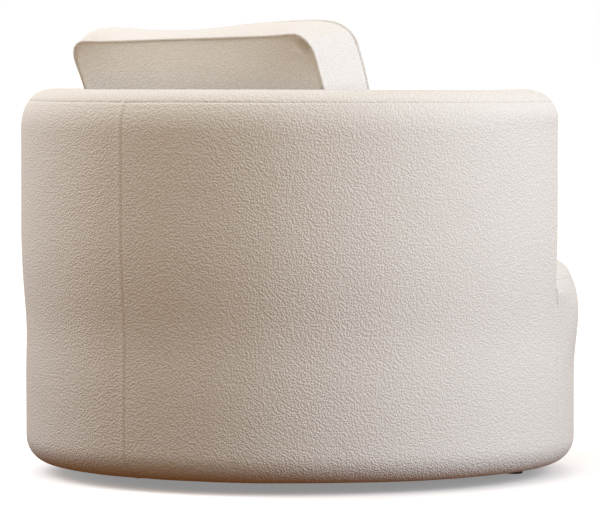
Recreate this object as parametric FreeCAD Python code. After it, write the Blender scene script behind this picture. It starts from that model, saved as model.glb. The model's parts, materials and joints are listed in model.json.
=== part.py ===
"""Round upholstered armchair: a timber and sprung frame, foam, fabric covers, feet and a loose back cushion.

Units are millimetres. +Z is up, the origin is on the floor under the middle of the round plan, and
the open front of the chair faces -Y. Angles are measured from the middle of the back, +Y.
"""
import FreeCAD
import Part
import math
import os

from FreeCAD import Vector

os.makedirs("parts", exist_ok=True)

# Plan and height of the upholstered body
BODY_R = 540.0            # widest radius of the round body
WAIST_R = 532.0           # radius of the straight lower half
TUCK_R = 482.0            # radius where the cover turns flat under the base
COVER_EDGE_R = 472.0      # radius of the cover's stapled edge underneath
WALL_T = 126.0            # thickness of the back and arm wall
CLEARANCE = 20.0          # floor to the underside of the body
TUCK_FILLET = 50.0
WAIST_TOP = 270.0
BULGE_BOTTOM = 430.0
SHOULDER_Z = 645.0        # where the wall starts to round in towards the rim seam
SEAM_Z = 719.0            # rim seams
SEAM_IN = 23.0            # rim seam's inset from the wall face
CROWN_Z = 741.0           # top of the rim
ARM_ANGLE = 104.0         # the wall runs this far round from the back, each way

# Seat
SEAT_Z = 415.0
NOSE_Z = 312.0            # height of the front's widest line
NOSE_SEAM_Z = 380.0
NOSE_LOW_R = 179.0        # radius of the lower nose curve
NOSE_CUT_R = 455.0        # the seat foam reaches down to the seat ring beyond this radius
SEAT_DISC_R = 412.0       # the seat inside the wall
SEAT_SKIRT_Z = 350.0      # the seat cover's lower edge inside the wall
FRONT_WAIST_TOP = 250.0

# Layers, from the outside in
COVER_T = 3.5
PANEL_OUT_R = 506.5       # hardboard skin, outside
PANEL_IN_R = 503.0        # hardboard skin, inside, and the edge of every plywood former
POST_IN_R = 461.0
WEB_OUT_R = 460.5
WEB_IN_R = 458.5
INNER_FOAM_OUT_R = 457.5
END_COVER_DEG = 0.4
END_FOAM_DEG = 2.4
END_BOARD_DEG = 1.8

# Timber
BASE_Z = CLEARANCE + COVER_T
BASE_T = 15.0
BASE_HOLE_R = 215.0
BASE_FOOT_R = 481.5       # radius of the base ring's underside, inside the chamfer
BASE_CHAMFER = 10.5
SEAT_RING_Z = 266.0
SEAT_RING_T = 18.0
SEAT_RING_HOLE_R = 400.0
TOP_RIB_Z = 672.0
TOP_RIB_T = 18.0
BASE_POST = 45.0
BASE_POST_COUNT = 8
SHELL_POST = (40.0, 45.0)
SHELL_POST_ANGLES = (-96.0, -64.0, -32.0, 0.0, 32.0, 64.0, 96.0)

# Seat springs
WIRE_R = 1.9
SPRING_Z = 293.0
SPRING_X = (-300.0, -200.0, -100.0, 0.0, 100.0, 200.0, 300.0)
SPRING_ANCHOR_R = 432.0
SPRING_PITCH = 26.0
SPRING_HALF_BAR = 14.0
CLIP = (22.0, 11.0, 12.5)
TIE_R = 1.0
TIE_Y = (-110.0, 110.0)
PAD_Z = 295.2
PAD_T = 4.3
DECK_Z = 300.0

# Feet
FOOT_R = 16.0
FOOT_CHAMFER = 1.5
FOOT_RECESS_R = 6.0
SCREW_R = 2.0
SCREW_HEAD_R = 4.0
SCREW_HEAD_Z = 7.0
SCREW_HEAD_T = 3.0
SCREW_TOP = 31.0
FEET = {
    "foot_arm_left": (375.0, -190.0),
    "foot_arm_right": (-375.0, -190.0),
    "foot_front_left": (190.0, -400.0),
    "foot_front_right": (-190.0, -400.0),
    "foot_rear_left": (165.0, 185.0),
    "foot_rear_right": (-165.0, 185.0),
}
DUST_T = 1.0

# Back cushion, built upright and then leaned back
CUSHION_W = 576.0
CUSHION_H = 431.0
CUSHION_T = 128.0
CUSHION_LEAN = 16.0
CUSHION_CORNER = 40.0
CUSHION_CROWN = 24.0
CUSHION_BACK_Y = 205.0    # back face at the seat
CUSHION_Z = SEAT_Z + 0.2
CUSHION_BELOW = 60.0      # spare length that the seat plane cuts off
WELT_R = 2.2
ZIP_HALF = 240.0
ZIP_Z = 60.0
SLIDER_START = -225.0


def sector(face, start, sweep):
    """Revolve a face of the XZ plane about Z, from an angle measured from the back towards +X."""
    turned = face.copy()
    turned.rotate(Vector(0, 0, 0), Vector(0, 0, 1), 90.0 - start - sweep)
    return turned.revolve(Vector(0, 0, 0), Vector(0, 0, 1), sweep)


def wall_sector(face, half_angle):
    """A sector centred on the middle of the back."""
    return sector(face, -half_angle, 2.0 * half_angle)


def front_sector(face, half_angle):
    """A sector centred on the front that starts at half_angle from the back, each side."""
    return sector(face, half_angle, 360.0 - 2.0 * half_angle)


def at(r, z):
    return Vector(r, 0, z)


def line(a, b):
    return Part.LineSegment(at(*a), at(*b)).toShape()


def arc(a, m, b):
    return Part.Arc(at(*a), at(*m), at(*b)).toShape()


def arc_about(centre, radius, start_deg, end_deg):
    """Arc in the XZ plane about a centre, by its angles above the horizontal."""
    points = []
    for t in (start_deg, 0.5 * (start_deg + end_deg), end_deg):
        a = math.radians(t)
        points.append((centre[0] + radius * math.cos(a), centre[1] + radius * math.sin(a)))
    return arc(*points)


def area(edges):
    return Part.Face(Part.Wire(edges))


def block(r0, r1, z0, z1):
    """Rectangle in the profile plane."""
    corners = [at(r0, z0), at(r1, z0), at(r1, z1), at(r0, z1), at(r0, z0)]
    return Part.Face(Part.makePolygon(corners))


def lower_edges(d, waist_top, upper):
    """The tuck under the base and the straight waist, taken in by d, up to the point upper."""
    fillet = TUCK_FILLET - d
    centre = (TUCK_R, CLEARANCE + TUCK_FILLET)
    waist = WAIST_R - d
    return [
        line((COVER_EDGE_R, CLEARANCE + d), (TUCK_R, CLEARANCE + d)),
        arc_about(centre, fillet, -90.0, 0.0),
        line((waist, centre[1]), (waist, waist_top)),
        line((waist, waist_top), upper),
    ]


def shoulder(d):
    """Centre and radius of the arc from the wall to the outer rim seam, taken in by d."""
    rise = SEAM_Z - SHOULDER_Z
    radius = (SEAM_IN ** 2 + rise ** 2) / (2.0 * SEAM_IN)
    return (BODY_R - radius, SHOULDER_Z), radius - d


def rim_arc(d):
    """Centre, radius and half angle of the crowned rim band, taken in by d."""
    half = 0.5 * WALL_T - SEAM_IN
    rise = CROWN_Z - SEAM_Z
    radius = (half ** 2 + rise ** 2) / (2.0 * rise)
    return (BODY_R - 0.5 * WALL_T, CROWN_Z - radius), radius - d


def shoulder_end(d):
    """Point of the shoulder arc on the seam's own normal, taken in by d."""
    centre, radius = shoulder(d)
    a = math.asin((SEAM_Z - SHOULDER_Z) / (radius + d))
    return (centre[0] + radius * math.cos(a), centre[1] + radius * math.sin(a))


def mirrored(point):
    """The same point on the inner side of the wall."""
    return (2.0 * BODY_R - WALL_T - point[0], point[1])


def outer_edges(d):
    """The wall's outside from the underside to the outer rim seam, taken in by d."""
    face = BODY_R - d
    centre, radius = shoulder(d)
    angle = math.degrees(math.asin((SEAM_Z - SHOULDER_Z) / (radius + d)))
    return lower_edges(d, WAIST_TOP, (face, BULGE_BOTTOM)) + [
        line((face, BULGE_BOTTOM), (face, SHOULDER_Z)),
        arc_about(centre, radius, 0.0, angle),
    ]


def rim_edge(d):
    """The crowned top of the rim, from the outer seam to the inner one."""
    a = shoulder_end(d)
    return arc(a, (BODY_R - 0.5 * WALL_T, CROWN_Z - d), mirrored(a))


def inner_edges(d, bottom):
    """The wall's inside from the inner rim seam down to a height."""
    end = mirrored(shoulder_end(d))
    centre, radius = shoulder(d)
    a = 0.5 * math.asin((SEAM_Z - SHOULDER_Z) / (radius + d))
    middle = mirrored((centre[0] + radius * math.cos(a), centre[1] + radius * math.sin(a)))
    face = BODY_R - WALL_T + d
    return [
        arc(end, middle, (face, SHOULDER_Z)),
        line((face, SHOULDER_Z), (face, bottom)),
    ]


def nose_arc(d):
    """Centre, radius and seam angle of the curve under the nose seam, taken in by d."""
    angle = math.asin((NOSE_SEAM_Z - NOSE_Z) / NOSE_LOW_R)
    return (BODY_R - NOSE_LOW_R, NOSE_Z), NOSE_LOW_R - d, angle


def nose_seam(d):
    """Point of the nose seam, taken in by d."""
    centre, radius, angle = nose_arc(d)
    return (centre[0] + radius * math.cos(angle), centre[1] + radius * math.sin(angle))


def nose_top_edges(d):
    """The curve from the nose seam to the flat of the seat and on to the middle, taken in by d."""
    _, _, angle = nose_arc(d)
    seam = nose_seam(0.0)
    radius = (SEAT_Z - seam[1]) / (1.0 - math.sin(angle))
    centre = (seam[0] - radius * math.cos(angle), SEAT_Z - radius)
    end = (centre[0], SEAT_Z - d)
    top = arc_about(centre, radius - d, math.degrees(angle), 90.0)
    return [top, line(end, (0.0, SEAT_Z - d))]


def front_edges(d):
    """The front's outside from the underside to the nose seam, taken in by d."""
    centre, radius, angle = nose_arc(d)
    low = lower_edges(d, FRONT_WAIST_TOP, (BODY_R - d, NOSE_Z))
    return low + [arc_about(centre, radius, 0.0, math.degrees(angle))]


def close(edges):
    """Close an open run of edges with a straight one."""
    wire = Part.Wire(edges)
    ends = [v.Point for v in wire.OrderedVertexes]
    return Part.Face(Part.Wire(edges + [Part.LineSegment(ends[-1], ends[0]).toShape()]))


def skin(outer, inner):
    """The face between two open runs of edges that start and end side by side."""
    a = [v.Point for v in Part.Wire(outer).OrderedVertexes]
    b = [v.Point for v in Part.Wire(inner).OrderedVertexes]
    caps = [Part.LineSegment(a[0], b[0]).toShape(), Part.LineSegment(a[-1], b[-1]).toShape()]
    return Part.Face(Part.Wire(Part.__sortEdges__(outer + inner + caps)))


def full_wall_section(d):
    """Everything inside the wall's cover, taken in by d, as one face."""
    bottom = DECK_Z + 0.5
    edges = outer_edges(d) + [rim_edge(d)] + inner_edges(d, bottom)
    face = BODY_R - WALL_T + d
    edges += [
        line((face, bottom), (COVER_EDGE_R, bottom)),
        line((COVER_EDGE_R, bottom), (COVER_EDGE_R, CLEARANCE + d)),
    ]
    return area(edges)


def end_section(d):
    """The arm end's section: the outer foam's strip below the deck, and the whole wall above it."""
    return full_wall_section(d).cut(block(0.0, PANEL_OUT_R, 0.0, 290.0))


def largest_face(shape):
    return max(shape.Faces, key=lambda f: f.Area)


def annulus(r0, r1, z, t):
    outer = Part.makeCylinder(r1, t, Vector(0, 0, z))
    return outer.cut(Part.makeCylinder(r0, t, Vector(0, 0, z)))


def place_round(shape, angle):
    """Turn a piece made at the middle of the back round to an angle towards +X."""
    turned = shape.copy()
    turned.rotate(Vector(0, 0, 0), Vector(0, 0, 1), -angle)
    return turned


def screw(x, y, z0, head_z, top):
    """Countersunk wood screw pointing up."""
    shank = Part.makeCylinder(SCREW_R, top - head_z, Vector(x, y, head_z))
    head = Part.makeCone(SCREW_HEAD_R, SCREW_R, SCREW_HEAD_T, Vector(x, y, z0))
    tip = Part.makeCone(SCREW_R, 0.4, 4.0, Vector(x, y, top))
    return shank.fuse(head).fuse(tip).removeSplitter()


# ---- Frame ---------------------------------------------------------------------------------------

def base_ring():
    """Plywood ring with its lower outside edge chamfered for the tuck of the covers."""
    section = Part.Face(Part.makePolygon([
        at(BASE_HOLE_R, BASE_Z),
        at(BASE_FOOT_R, BASE_Z),
        at(PANEL_IN_R, BASE_Z + BASE_CHAMFER),
        at(PANEL_IN_R, BASE_Z + BASE_T),
        at(BASE_HOLE_R, BASE_Z + BASE_T),
        at(BASE_HOLE_R, BASE_Z),
    ]))
    ring = sector(section, 0.0, 360.0)
    for x, y in FEET.values():
        ring = ring.cut(Part.makeCylinder(SCREW_R + 0.05, 60.0, Vector(x, y, 0)))
    return ring


def seat_ring():
    return annulus(SEAT_RING_HOLE_R, PANEL_IN_R, SEAT_RING_Z, SEAT_RING_T)


def top_rib():
    face = block(POST_IN_R, PANEL_IN_R, TOP_RIB_Z, TOP_RIB_Z + TOP_RIB_T)
    return wall_sector(face, BOARD_START)


def base_posts():
    z = BASE_Z + BASE_T
    half = 0.5 * BASE_POST
    post = Part.makeBox(BASE_POST, BASE_POST, SEAT_RING_Z - z, Vector(-half, 470.0 - half, z))
    step = 360.0 / BASE_POST_COUNT
    return Part.makeCompound([place_round(post, (i + 0.5) * step) for i in range(BASE_POST_COUNT)])


def shell_posts():
    depth, width = SHELL_POST
    z = SEAT_RING_Z + SEAT_RING_T
    post = Part.makeBox(width, depth, TOP_RIB_Z - z, Vector(-0.5 * width, POST_IN_R, z))
    return Part.makeCompound([place_round(post, a) for a in SHELL_POST_ANGLES])


def arm_end_board(side):
    face = block(POST_IN_R, PANEL_IN_R, SEAT_RING_Z + SEAT_RING_T, TOP_RIB_Z + TOP_RIB_T)
    start = BOARD_START if side > 0 else -BOARD_START - END_BOARD_DEG
    return sector(face, start, END_BOARD_DEG)


def outer_panel():
    low = BASE_Z + BASE_CHAMFER
    return wall_sector(block(PANEL_IN_R, PANEL_OUT_R, low, TOP_RIB_Z + TOP_RIB_T), FOAM_END)


def front_panel():
    low = BASE_Z + BASE_CHAMFER
    return front_sector(block(PANEL_IN_R, PANEL_OUT_R, low, SEAT_RING_Z + SEAT_RING_T), FOAM_END)


def back_webbing():
    straps = []
    for z in (345.0, 425.0, 505.0, 585.0):
        straps.append(wall_sector(block(WEB_IN_R, WEB_OUT_R, z, z + 60.0), BOARD_START))
    return Part.makeCompound(straps)


# ---- Seat suspension -----------------------------------------------------------------------------

def spring_bars(x):
    """Heights along Y of a spring's cross bars, evenly spread between its two clips."""
    reach = math.sqrt(SPRING_ANCHOR_R ** 2 - x ** 2)
    count = int(round(2.0 * reach / SPRING_PITCH))
    pitch = 2.0 * reach / count
    return [-reach + i * pitch for i in range(count + 1)]


def seat_spring(x):
    """Sinuous spring: cross bars joined by half circles, in one wire."""
    ys = spring_bars(x)
    edges = []
    side = -1.0
    for i, y in enumerate(ys):
        a = Vector(x + side * SPRING_HALF_BAR, y, SPRING_Z)
        b = Vector(x - side * SPRING_HALF_BAR, y, SPRING_Z)
        edges.append(Part.LineSegment(a, b).toShape())
        if i + 1 < len(ys):
            r = 0.5 * (ys[i + 1] - y)
            c = Vector(x - side * (SPRING_HALF_BAR + r), y + r, SPRING_Z)
            d = Vector(x - side * SPRING_HALF_BAR, ys[i + 1], SPRING_Z)
            edges.append(Part.Arc(b, c, d).toShape())
        side = -side
    path = Part.Wire(edges)
    start = Vector(x - SPRING_HALF_BAR, ys[0], SPRING_Z)
    ring = Part.Wire(Part.makeCircle(WIRE_R, start, Vector(1, 0, 0)))
    return path.makePipeShell([ring], True, True)


def spring_clips():
    """Folded clips on the seat ring, one at each end of each spring."""
    cx, cy, cz = CLIP
    z = SEAT_RING_Z + SEAT_RING_T
    clips = []
    for x in SPRING_X:
        ys = spring_bars(x)
        for y in (ys[0], ys[-1]):
            clip = Part.makeBox(cx, cy, cz, Vector(x - 0.5 * cx, y - 0.5 * cy, z))
            clip = clip.makeFillet(2.0, [e for e in clip.Edges if is_long_top(e, z + cz)])
            bore = Part.makeCylinder(WIRE_R + 0.1, cx, Vector(x - 0.5 * cx, y, SPRING_Z), Vector(1, 0, 0))
            clips.append(clip.cut(bore))
    return Part.makeCompound(clips)


def is_long_top(edge, z):
    """True for the two long edges on a clip's top."""
    a, b = edge.Vertexes[0].Point, edge.Vertexes[-1].Point
    return abs(a.z - z) < 0.01 and abs(b.z - z) < 0.01 and abs(a.x - b.x) > 1.0


def spring_ties():
    """Cross wires under the springs that make them work together."""
    z = SPRING_Z - WIRE_R - TIE_R - 0.05
    length = SPRING_X[-1] - SPRING_X[0] + 60.0
    start = SPRING_X[0] - 30.0
    return Part.makeCompound(
        [Part.makeCylinder(TIE_R, length, Vector(start, y, z), Vector(1, 0, 0)) for y in TIE_Y]
    )


def spring_pad():
    return Part.makeCylinder(SEAT_DISC_R - 1.0, PAD_T, Vector(0, 0, PAD_Z))


# ---- Foam ----------------------------------------------------------------------------------------

def outer_foam():
    """Foam between the hardboard and the outside covers, below the rim."""
    section = full_wall_section(COVER_T).common(block(PANEL_OUT_R, 600.0, 0.0, RIM_Z))
    return wall_sector(largest_face(section), FOAM_END)


def inner_foam():
    """Foam on the sitter's side of the wall, below the rim."""
    section = full_wall_section(COVER_T).common(block(400.0, INNER_FOAM_OUT_R, DECK_Z, RIM_Z))
    return wall_sector(largest_face(section), FOAM_END)


def rim_foam():
    section = full_wall_section(COVER_T).common(block(400.0, 600.0, RIM_Z, 800.0))
    return wall_sector(largest_face(section), FOAM_END)


def arm_end_foam(side):
    section = largest_face(end_section(COVER_T))
    start = FOAM_END if side > 0 else -FOAM_END - END_FOAM_DEG
    return sector(section, start, END_FOAM_DEG)


def front_foam():
    edges = front_edges(COVER_T)
    seam = nose_seam(COVER_T)
    edges += [
        line(seam, (400.0, seam[1])),
        line((400.0, seam[1]), (400.0, CLEARANCE + COVER_T)),
        line((400.0, CLEARANCE + COVER_T), (COVER_EDGE_R, CLEARANCE + COVER_T)),
    ]
    section = area(edges).common(block(PANEL_OUT_R, 600.0, 0.0, SEAT_RING_Z + SEAT_RING_T))
    return front_sector(largest_face(section), ARM_ANGLE)


def seat_foam():
    """A disc within the wall, joined to a nose that fills the open front down to the seat ring."""
    low = CLEARANCE + COVER_T
    top = SEAT_Z - COVER_T
    disc = Part.makeCylinder(SEAT_DISC_R - COVER_T, top - DECK_Z, Vector(0, 0, DECK_Z))
    edges = front_edges(COVER_T) + nose_top_edges(COVER_T)
    edges += [
        line((0.0, top), (0.0, low)),
        line((0.0, low), (COVER_EDGE_R, low)),
    ]
    nose = area(edges).common(block(0.0, 600.0, SEAT_RING_Z + SEAT_RING_T, 500.0))
    nose = nose.cut(block(0.0, NOSE_CUT_R, 0.0, DECK_Z))
    return disc.fuse(front_sector(largest_face(nose), ARM_ANGLE + 0.35)).removeSplitter()


# ---- Covers --------------------------------------------------------------------------------------

def outer_cover(side):
    """One half of the outside cover, from the middle of the back to the arm end."""
    face = skin(outer_edges(0.0), outer_edges(COVER_T))
    start = 0.0 if side > 0 else -ARM_ANGLE
    return sector(face, start, ARM_ANGLE)


def rim_cover():
    return wall_sector(skin([rim_edge(0.0)], [rim_edge(COVER_T)]), ARM_ANGLE)


def inner_cover():
    bottom = DECK_Z + 0.5
    return wall_sector(skin(inner_edges(0.0, bottom), inner_edges(COVER_T, bottom)), ARM_ANGLE)


def arm_end_cover(side):
    section = largest_face(end_section(COVER_T))
    start = ARM_ANGLE - END_COVER_DEG if side > 0 else -ARM_ANGLE
    return sector(section, start, END_COVER_DEG)


def front_cover():
    """Front band, from under the base up to the nose seam."""
    face = skin(front_edges(0.0), front_edges(COVER_T))
    return front_sector(face, ARM_ANGLE + 0.02)


def seat_cover():
    """Top panel of the seat, sewn to the front band, with a skirt down inside the wall."""
    panel = front_sector(skin(nose_top_edges(0.0), nose_top_edges(COVER_T)), ARM_ANGLE + 0.02)
    disc = Part.makeCylinder(SEAT_DISC_R, COVER_T, Vector(0, 0, SEAT_Z - COVER_T))
    skirt = block(SEAT_DISC_R - COVER_T, SEAT_DISC_R, SEAT_SKIRT_Z, SEAT_Z)
    return disc.fuse([panel, wall_sector(skirt, ARM_ANGLE)]).removeSplitter()


def dust_cover():
    disc = Part.makeCylinder(COVER_EDGE_R - 0.5, DUST_T, Vector(0, 0, BASE_Z - DUST_T))
    for x, y in FEET.values():
        disc = disc.cut(Part.makeCylinder(SCREW_R + 0.05, 60.0, Vector(x, y, 0)))
    return disc


# ---- Feet ----------------------------------------------------------------------------------------

def foot(x, y):
    """Round plastic glide with a chamfered sole and a recess for its screw."""
    top = BASE_Z - DUST_T
    body = Part.makeCylinder(FOOT_R, top - FOOT_CHAMFER, Vector(x, y, FOOT_CHAMFER))
    sole = Part.makeCone(FOOT_R - FOOT_CHAMFER, FOOT_R, FOOT_CHAMFER, Vector(x, y, 0))
    recess = Part.makeCylinder(FOOT_RECESS_R, SCREW_HEAD_Z, Vector(x, y, 0))
    hole = Part.makeCylinder(SCREW_R + 0.05, top, Vector(x, y, 0))
    seat = Part.makeCone(SCREW_HEAD_R + 0.05, SCREW_R + 0.05, SCREW_HEAD_T, Vector(x, y, SCREW_HEAD_Z))
    return body.fuse(sole).removeSplitter().cut(recess).cut(hole).cut(seat)


def foot_screws():
    pieces = []
    for x, y in FEET.values():
        pieces.append(screw(x, y, SCREW_HEAD_Z, SCREW_HEAD_Z + SCREW_HEAD_T, SCREW_TOP - 2.0))
    return Part.makeCompound(pieces)


# ---- Back cushion --------------------------------------------------------------------------------

def cushion_outline(inset):
    """Upright outline of the cushion in the XZ plane, with round top corners."""
    half = 0.5 * CUSHION_W - inset
    top = CUSHION_H - inset
    r = CUSHION_CORNER - inset
    k = r * (1.0 - math.sqrt(0.5))
    return [
        line((-half, -CUSHION_BELOW), (-half, top - r)),
        arc((-half, top - r), (-half + k, top - k), (-half + r, top)),
        line((-half + r, top), (half - r, top)),
        arc((half - r, top), (half - k, top - k), (half, top - r)),
        line((half, top - r), (half, -CUSHION_BELOW)),
    ]


def cushion_prism(inset, y0, y1):
    face = close(cushion_outline(inset))
    face.translate(Vector(0, y0, 0))
    return face.extrude(Vector(0, y1 - y0, 0))


def crown_ball(inset):
    """Large ball whose surface is the crowned front, taken in by inset."""
    reach = math.hypot(0.5 * CUSHION_W, 0.5 * CUSHION_H)
    radius = (reach ** 2 + CUSHION_CROWN ** 2) / (2.0 * CUSHION_CROWN)
    centre = Vector(0, -CUSHION_T - CUSHION_CROWN + radius, 0.5 * CUSHION_H)
    return Part.makeSphere(radius - inset, centre)


def leaned(shape, lift=0.0):
    """Lean an upright cushion piece back, put it on the seat and cut it at the seat."""
    placed = shape.copy()
    placed.rotate(Vector(0, 0, 0), Vector(1, 0, 0), -CUSHION_LEAN)
    placed.translate(Vector(0, CUSHION_BACK_Y, CUSHION_Z))
    floor = Part.makeBox(1200.0, 1200.0, 300.0, Vector(-600, -600, CUSHION_Z + lift - 300.0))
    return placed.cut(floor)


def cushion_filling():
    body = cushion_prism(COVER_T, -CUSHION_T - CUSHION_CROWN - 5.0, -COVER_T)
    return leaned(body.common(crown_ball(COVER_T)), COVER_T)


def cushion_front_panel():
    body = cushion_prism(0.0, -CUSHION_T - CUSHION_CROWN - 5.0, -CUSHION_T * 0.4)
    return leaned(body.common(crown_ball(0.0)).cut(crown_ball(COVER_T)))


def zip_slot(z0, z1, y0=-COVER_T, y1=0.0):
    return Part.makeBox(2.0 * ZIP_HALF, y1 - y0, z1 - z0, Vector(-ZIP_HALF, y0, z0))


def cushion_back_panel():
    panel = cushion_prism(0.0, -COVER_T, 0.0)
    return leaned(panel.cut(zip_slot(ZIP_Z - 6.0, ZIP_Z + 6.0)))


def cushion_boxing():
    ring = cushion_prism(0.0, -CUSHION_T - CUSHION_CROWN - 5.0, -COVER_T)
    ring = ring.cut(cushion_prism(COVER_T, -CUSHION_T - CUSHION_CROWN - 6.0, 0.0))
    return leaned(ring.common(crown_ball(COVER_T)))


def cushion_bottom():
    """Strip of the boxing that lies on the seat, inside the four walls."""
    body = cushion_prism(COVER_T, -CUSHION_T - CUSHION_CROWN - 5.0, -COVER_T).common(crown_ball(COVER_T))
    placed = leaned(body)
    floor = Part.makeBox(1200.0, 1200.0, COVER_T, Vector(-600, -600, CUSHION_Z))
    return placed.common(floor)


def welt(y):
    """Round welt along the seam, down both sides and across the top."""
    half = 0.5 * CUSHION_W + WELT_R
    top = CUSHION_H + WELT_R
    r = CUSHION_CORNER + WELT_R
    k = r * (1.0 - math.sqrt(0.5))
    low = 12.0
    path = Part.Wire([
        line((-half, low), (-half, top - r)),
        arc((-half, top - r), (-half + k, top - k), (-half + r, top)),
        line((-half + r, top), (half - r, top)),
        arc((half - r, top), (half - k, top - k), (half, top - r)),
        line((half, top - r), (half, low)),
    ])
    ring = Part.Wire(Part.makeCircle(WELT_R, at(-half, low), Vector(0, 0, 1)))
    cord = path.makePipeShell([ring], True, True)
    cord.translate(Vector(0, y, 0))
    return cord


def cushion_welt_back():
    return leaned(welt(-WELT_R))


def cushion_welt_front():
    return leaned(welt(-CUSHION_T + 22.0))


def zip_tapes():
    upper = zip_slot(ZIP_Z + 0.3, ZIP_Z + 6.0, -1.2, 0.0)
    lower = zip_slot(ZIP_Z - 6.0, ZIP_Z - 0.3, -1.2, 0.0)
    return leaned(Part.makeCompound([upper, lower]))


def zip_coils():
    upper = zip_slot(ZIP_Z + 0.05, ZIP_Z + 1.5, 0.0, 2.0)
    lower = zip_slot(ZIP_Z - 1.5, ZIP_Z - 0.05, 0.0, 2.0)
    return leaned(Part.makeCompound([upper, lower]))


def zip_slider():
    """Channel over the coils with two ears and the pull's pin."""
    x = SLIDER_START
    body = Part.makeBox(9.0, 3.4, 7.0, Vector(x - 4.5, 0.3, ZIP_Z - 3.5))
    channel = Part.makeBox(9.0, 2.1, 3.8, Vector(x - 4.5, 0.3, ZIP_Z - 1.9))
    slider = body.cut(channel)
    for z in (ZIP_Z - 2.9, ZIP_Z + 2.0):
        slider = slider.fuse(Part.makeBox(3.0, 2.9, 0.9, Vector(x - 1.5, 3.7, z)))
    pin = Part.makeCylinder(0.7, 5.8, Vector(x, 5.4, ZIP_Z - 2.9), Vector(0, 0, 1))
    return leaned(slider.fuse(pin).removeSplitter())


def zip_pull():
    x = SLIDER_START
    eye = Part.makeCylinder(1.5, 3.4, Vector(x, 5.4, ZIP_Z - 1.7), Vector(0, 0, 1))
    tab = Part.makeBox(24.0, 1.2, 3.4, Vector(x, 4.8, ZIP_Z - 1.7))
    pull = eye.fuse(tab).removeSplitter()
    return leaned(pull.cut(Part.makeCylinder(0.75, 12.0, Vector(x, 5.4, ZIP_Z - 6.0), Vector(0, 0, 1))))


# Angles and levels that follow from the layers
FOAM_END = ARM_ANGLE - END_COVER_DEG - END_FOAM_DEG
BOARD_START = FOAM_END - END_BOARD_DEG
RIM_Z = TOP_RIB_Z + TOP_RIB_T


def all_parts():
    parts = {
        "base_ring": base_ring(),
        "seat_ring": seat_ring(),
        "top_rib": top_rib(),
        "base_posts": base_posts(),
        "shell_posts": shell_posts(),
        "arm_end_board_left": arm_end_board(1),
        "arm_end_board_right": arm_end_board(-1),
        "outer_hardboard": outer_panel(),
        "front_hardboard": front_panel(),
        "back_webbing": back_webbing(),
        "spring_clips": spring_clips(),
        "spring_ties": spring_ties(),
        "spring_pad": spring_pad(),
        "outer_foam": outer_foam(),
        "inner_foam": inner_foam(),
        "rim_foam": rim_foam(),
        "arm_end_foam_left": arm_end_foam(1),
        "arm_end_foam_right": arm_end_foam(-1),
        "front_foam": front_foam(),
        "seat_foam": seat_foam(),
        "outer_cover_left": outer_cover(1),
        "outer_cover_right": outer_cover(-1),
        "rim_cover": rim_cover(),
        "inner_cover": inner_cover(),
        "arm_end_cover_left": arm_end_cover(1),
        "arm_end_cover_right": arm_end_cover(-1),
        "front_cover": front_cover(),
        "seat_cover": seat_cover(),
        "dust_cover": dust_cover(),
        "foot_screws": foot_screws(),
        "cushion_filling": cushion_filling(),
        "cushion_front_panel": cushion_front_panel(),
        "cushion_back_panel": cushion_back_panel(),
        "cushion_boxing": cushion_boxing(),
        "cushion_bottom": cushion_bottom(),
        "cushion_welt_back": cushion_welt_back(),
        "cushion_welt_front": cushion_welt_front(),
        "zip_tapes": zip_tapes(),
        "zip_coils": zip_coils(),
        "zip_slider": zip_slider(),
        "zip_pull": zip_pull(),
    }
    for number, x in enumerate(SPRING_X, start=1):
        parts["seat_spring_%d" % number] = seat_spring(x)
    for name, (x, y) in FEET.items():
        parts[name] = foot(x, y)
    return parts


for name, shape in all_parts().items():
    solids = shape.Solids
    good = shape.isValid() and all(s.Volume > 0.0 for s in solids)
    print("%-22s solids %2d  volume %12.1f  %s" % (name, len(solids), shape.Volume, "ok" if good else "BAD"))
    shape.exportStep("parts/%s.step" % name)
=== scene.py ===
"""Visual model of a round upholstered armchair with a loose back cushion.

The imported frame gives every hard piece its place. This script adds the upholstery over it: the
wall's covers, the seat, the back cushion, their seams and welts, and a finish for each piece.
All lengths are in metres unless a name ends in _mm.
"""
import json
import logging
import math
from collections.abc import Callable, Iterable
from dataclasses import dataclass, field
from enum import Enum

import bmesh
import bpy
from mathutils import Matrix, Vector, noise


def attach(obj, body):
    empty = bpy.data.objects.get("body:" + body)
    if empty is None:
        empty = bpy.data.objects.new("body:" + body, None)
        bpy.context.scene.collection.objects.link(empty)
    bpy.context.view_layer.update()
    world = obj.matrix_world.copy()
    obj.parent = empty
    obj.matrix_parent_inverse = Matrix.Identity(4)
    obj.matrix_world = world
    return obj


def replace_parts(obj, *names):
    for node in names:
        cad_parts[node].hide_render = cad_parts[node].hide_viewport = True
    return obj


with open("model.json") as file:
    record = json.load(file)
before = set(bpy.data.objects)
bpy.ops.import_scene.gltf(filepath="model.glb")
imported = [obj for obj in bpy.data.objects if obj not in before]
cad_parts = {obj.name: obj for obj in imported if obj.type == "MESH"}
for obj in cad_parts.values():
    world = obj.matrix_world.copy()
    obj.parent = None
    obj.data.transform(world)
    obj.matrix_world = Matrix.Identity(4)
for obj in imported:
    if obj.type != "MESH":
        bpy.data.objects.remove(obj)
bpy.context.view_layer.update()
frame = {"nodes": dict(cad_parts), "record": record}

MM = 0.001

log = logging.getLogger("armchair")

Station = tuple[float, float, float, float]


# ---- Colour and node helpers ---------------------------------------------------------------------

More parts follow.
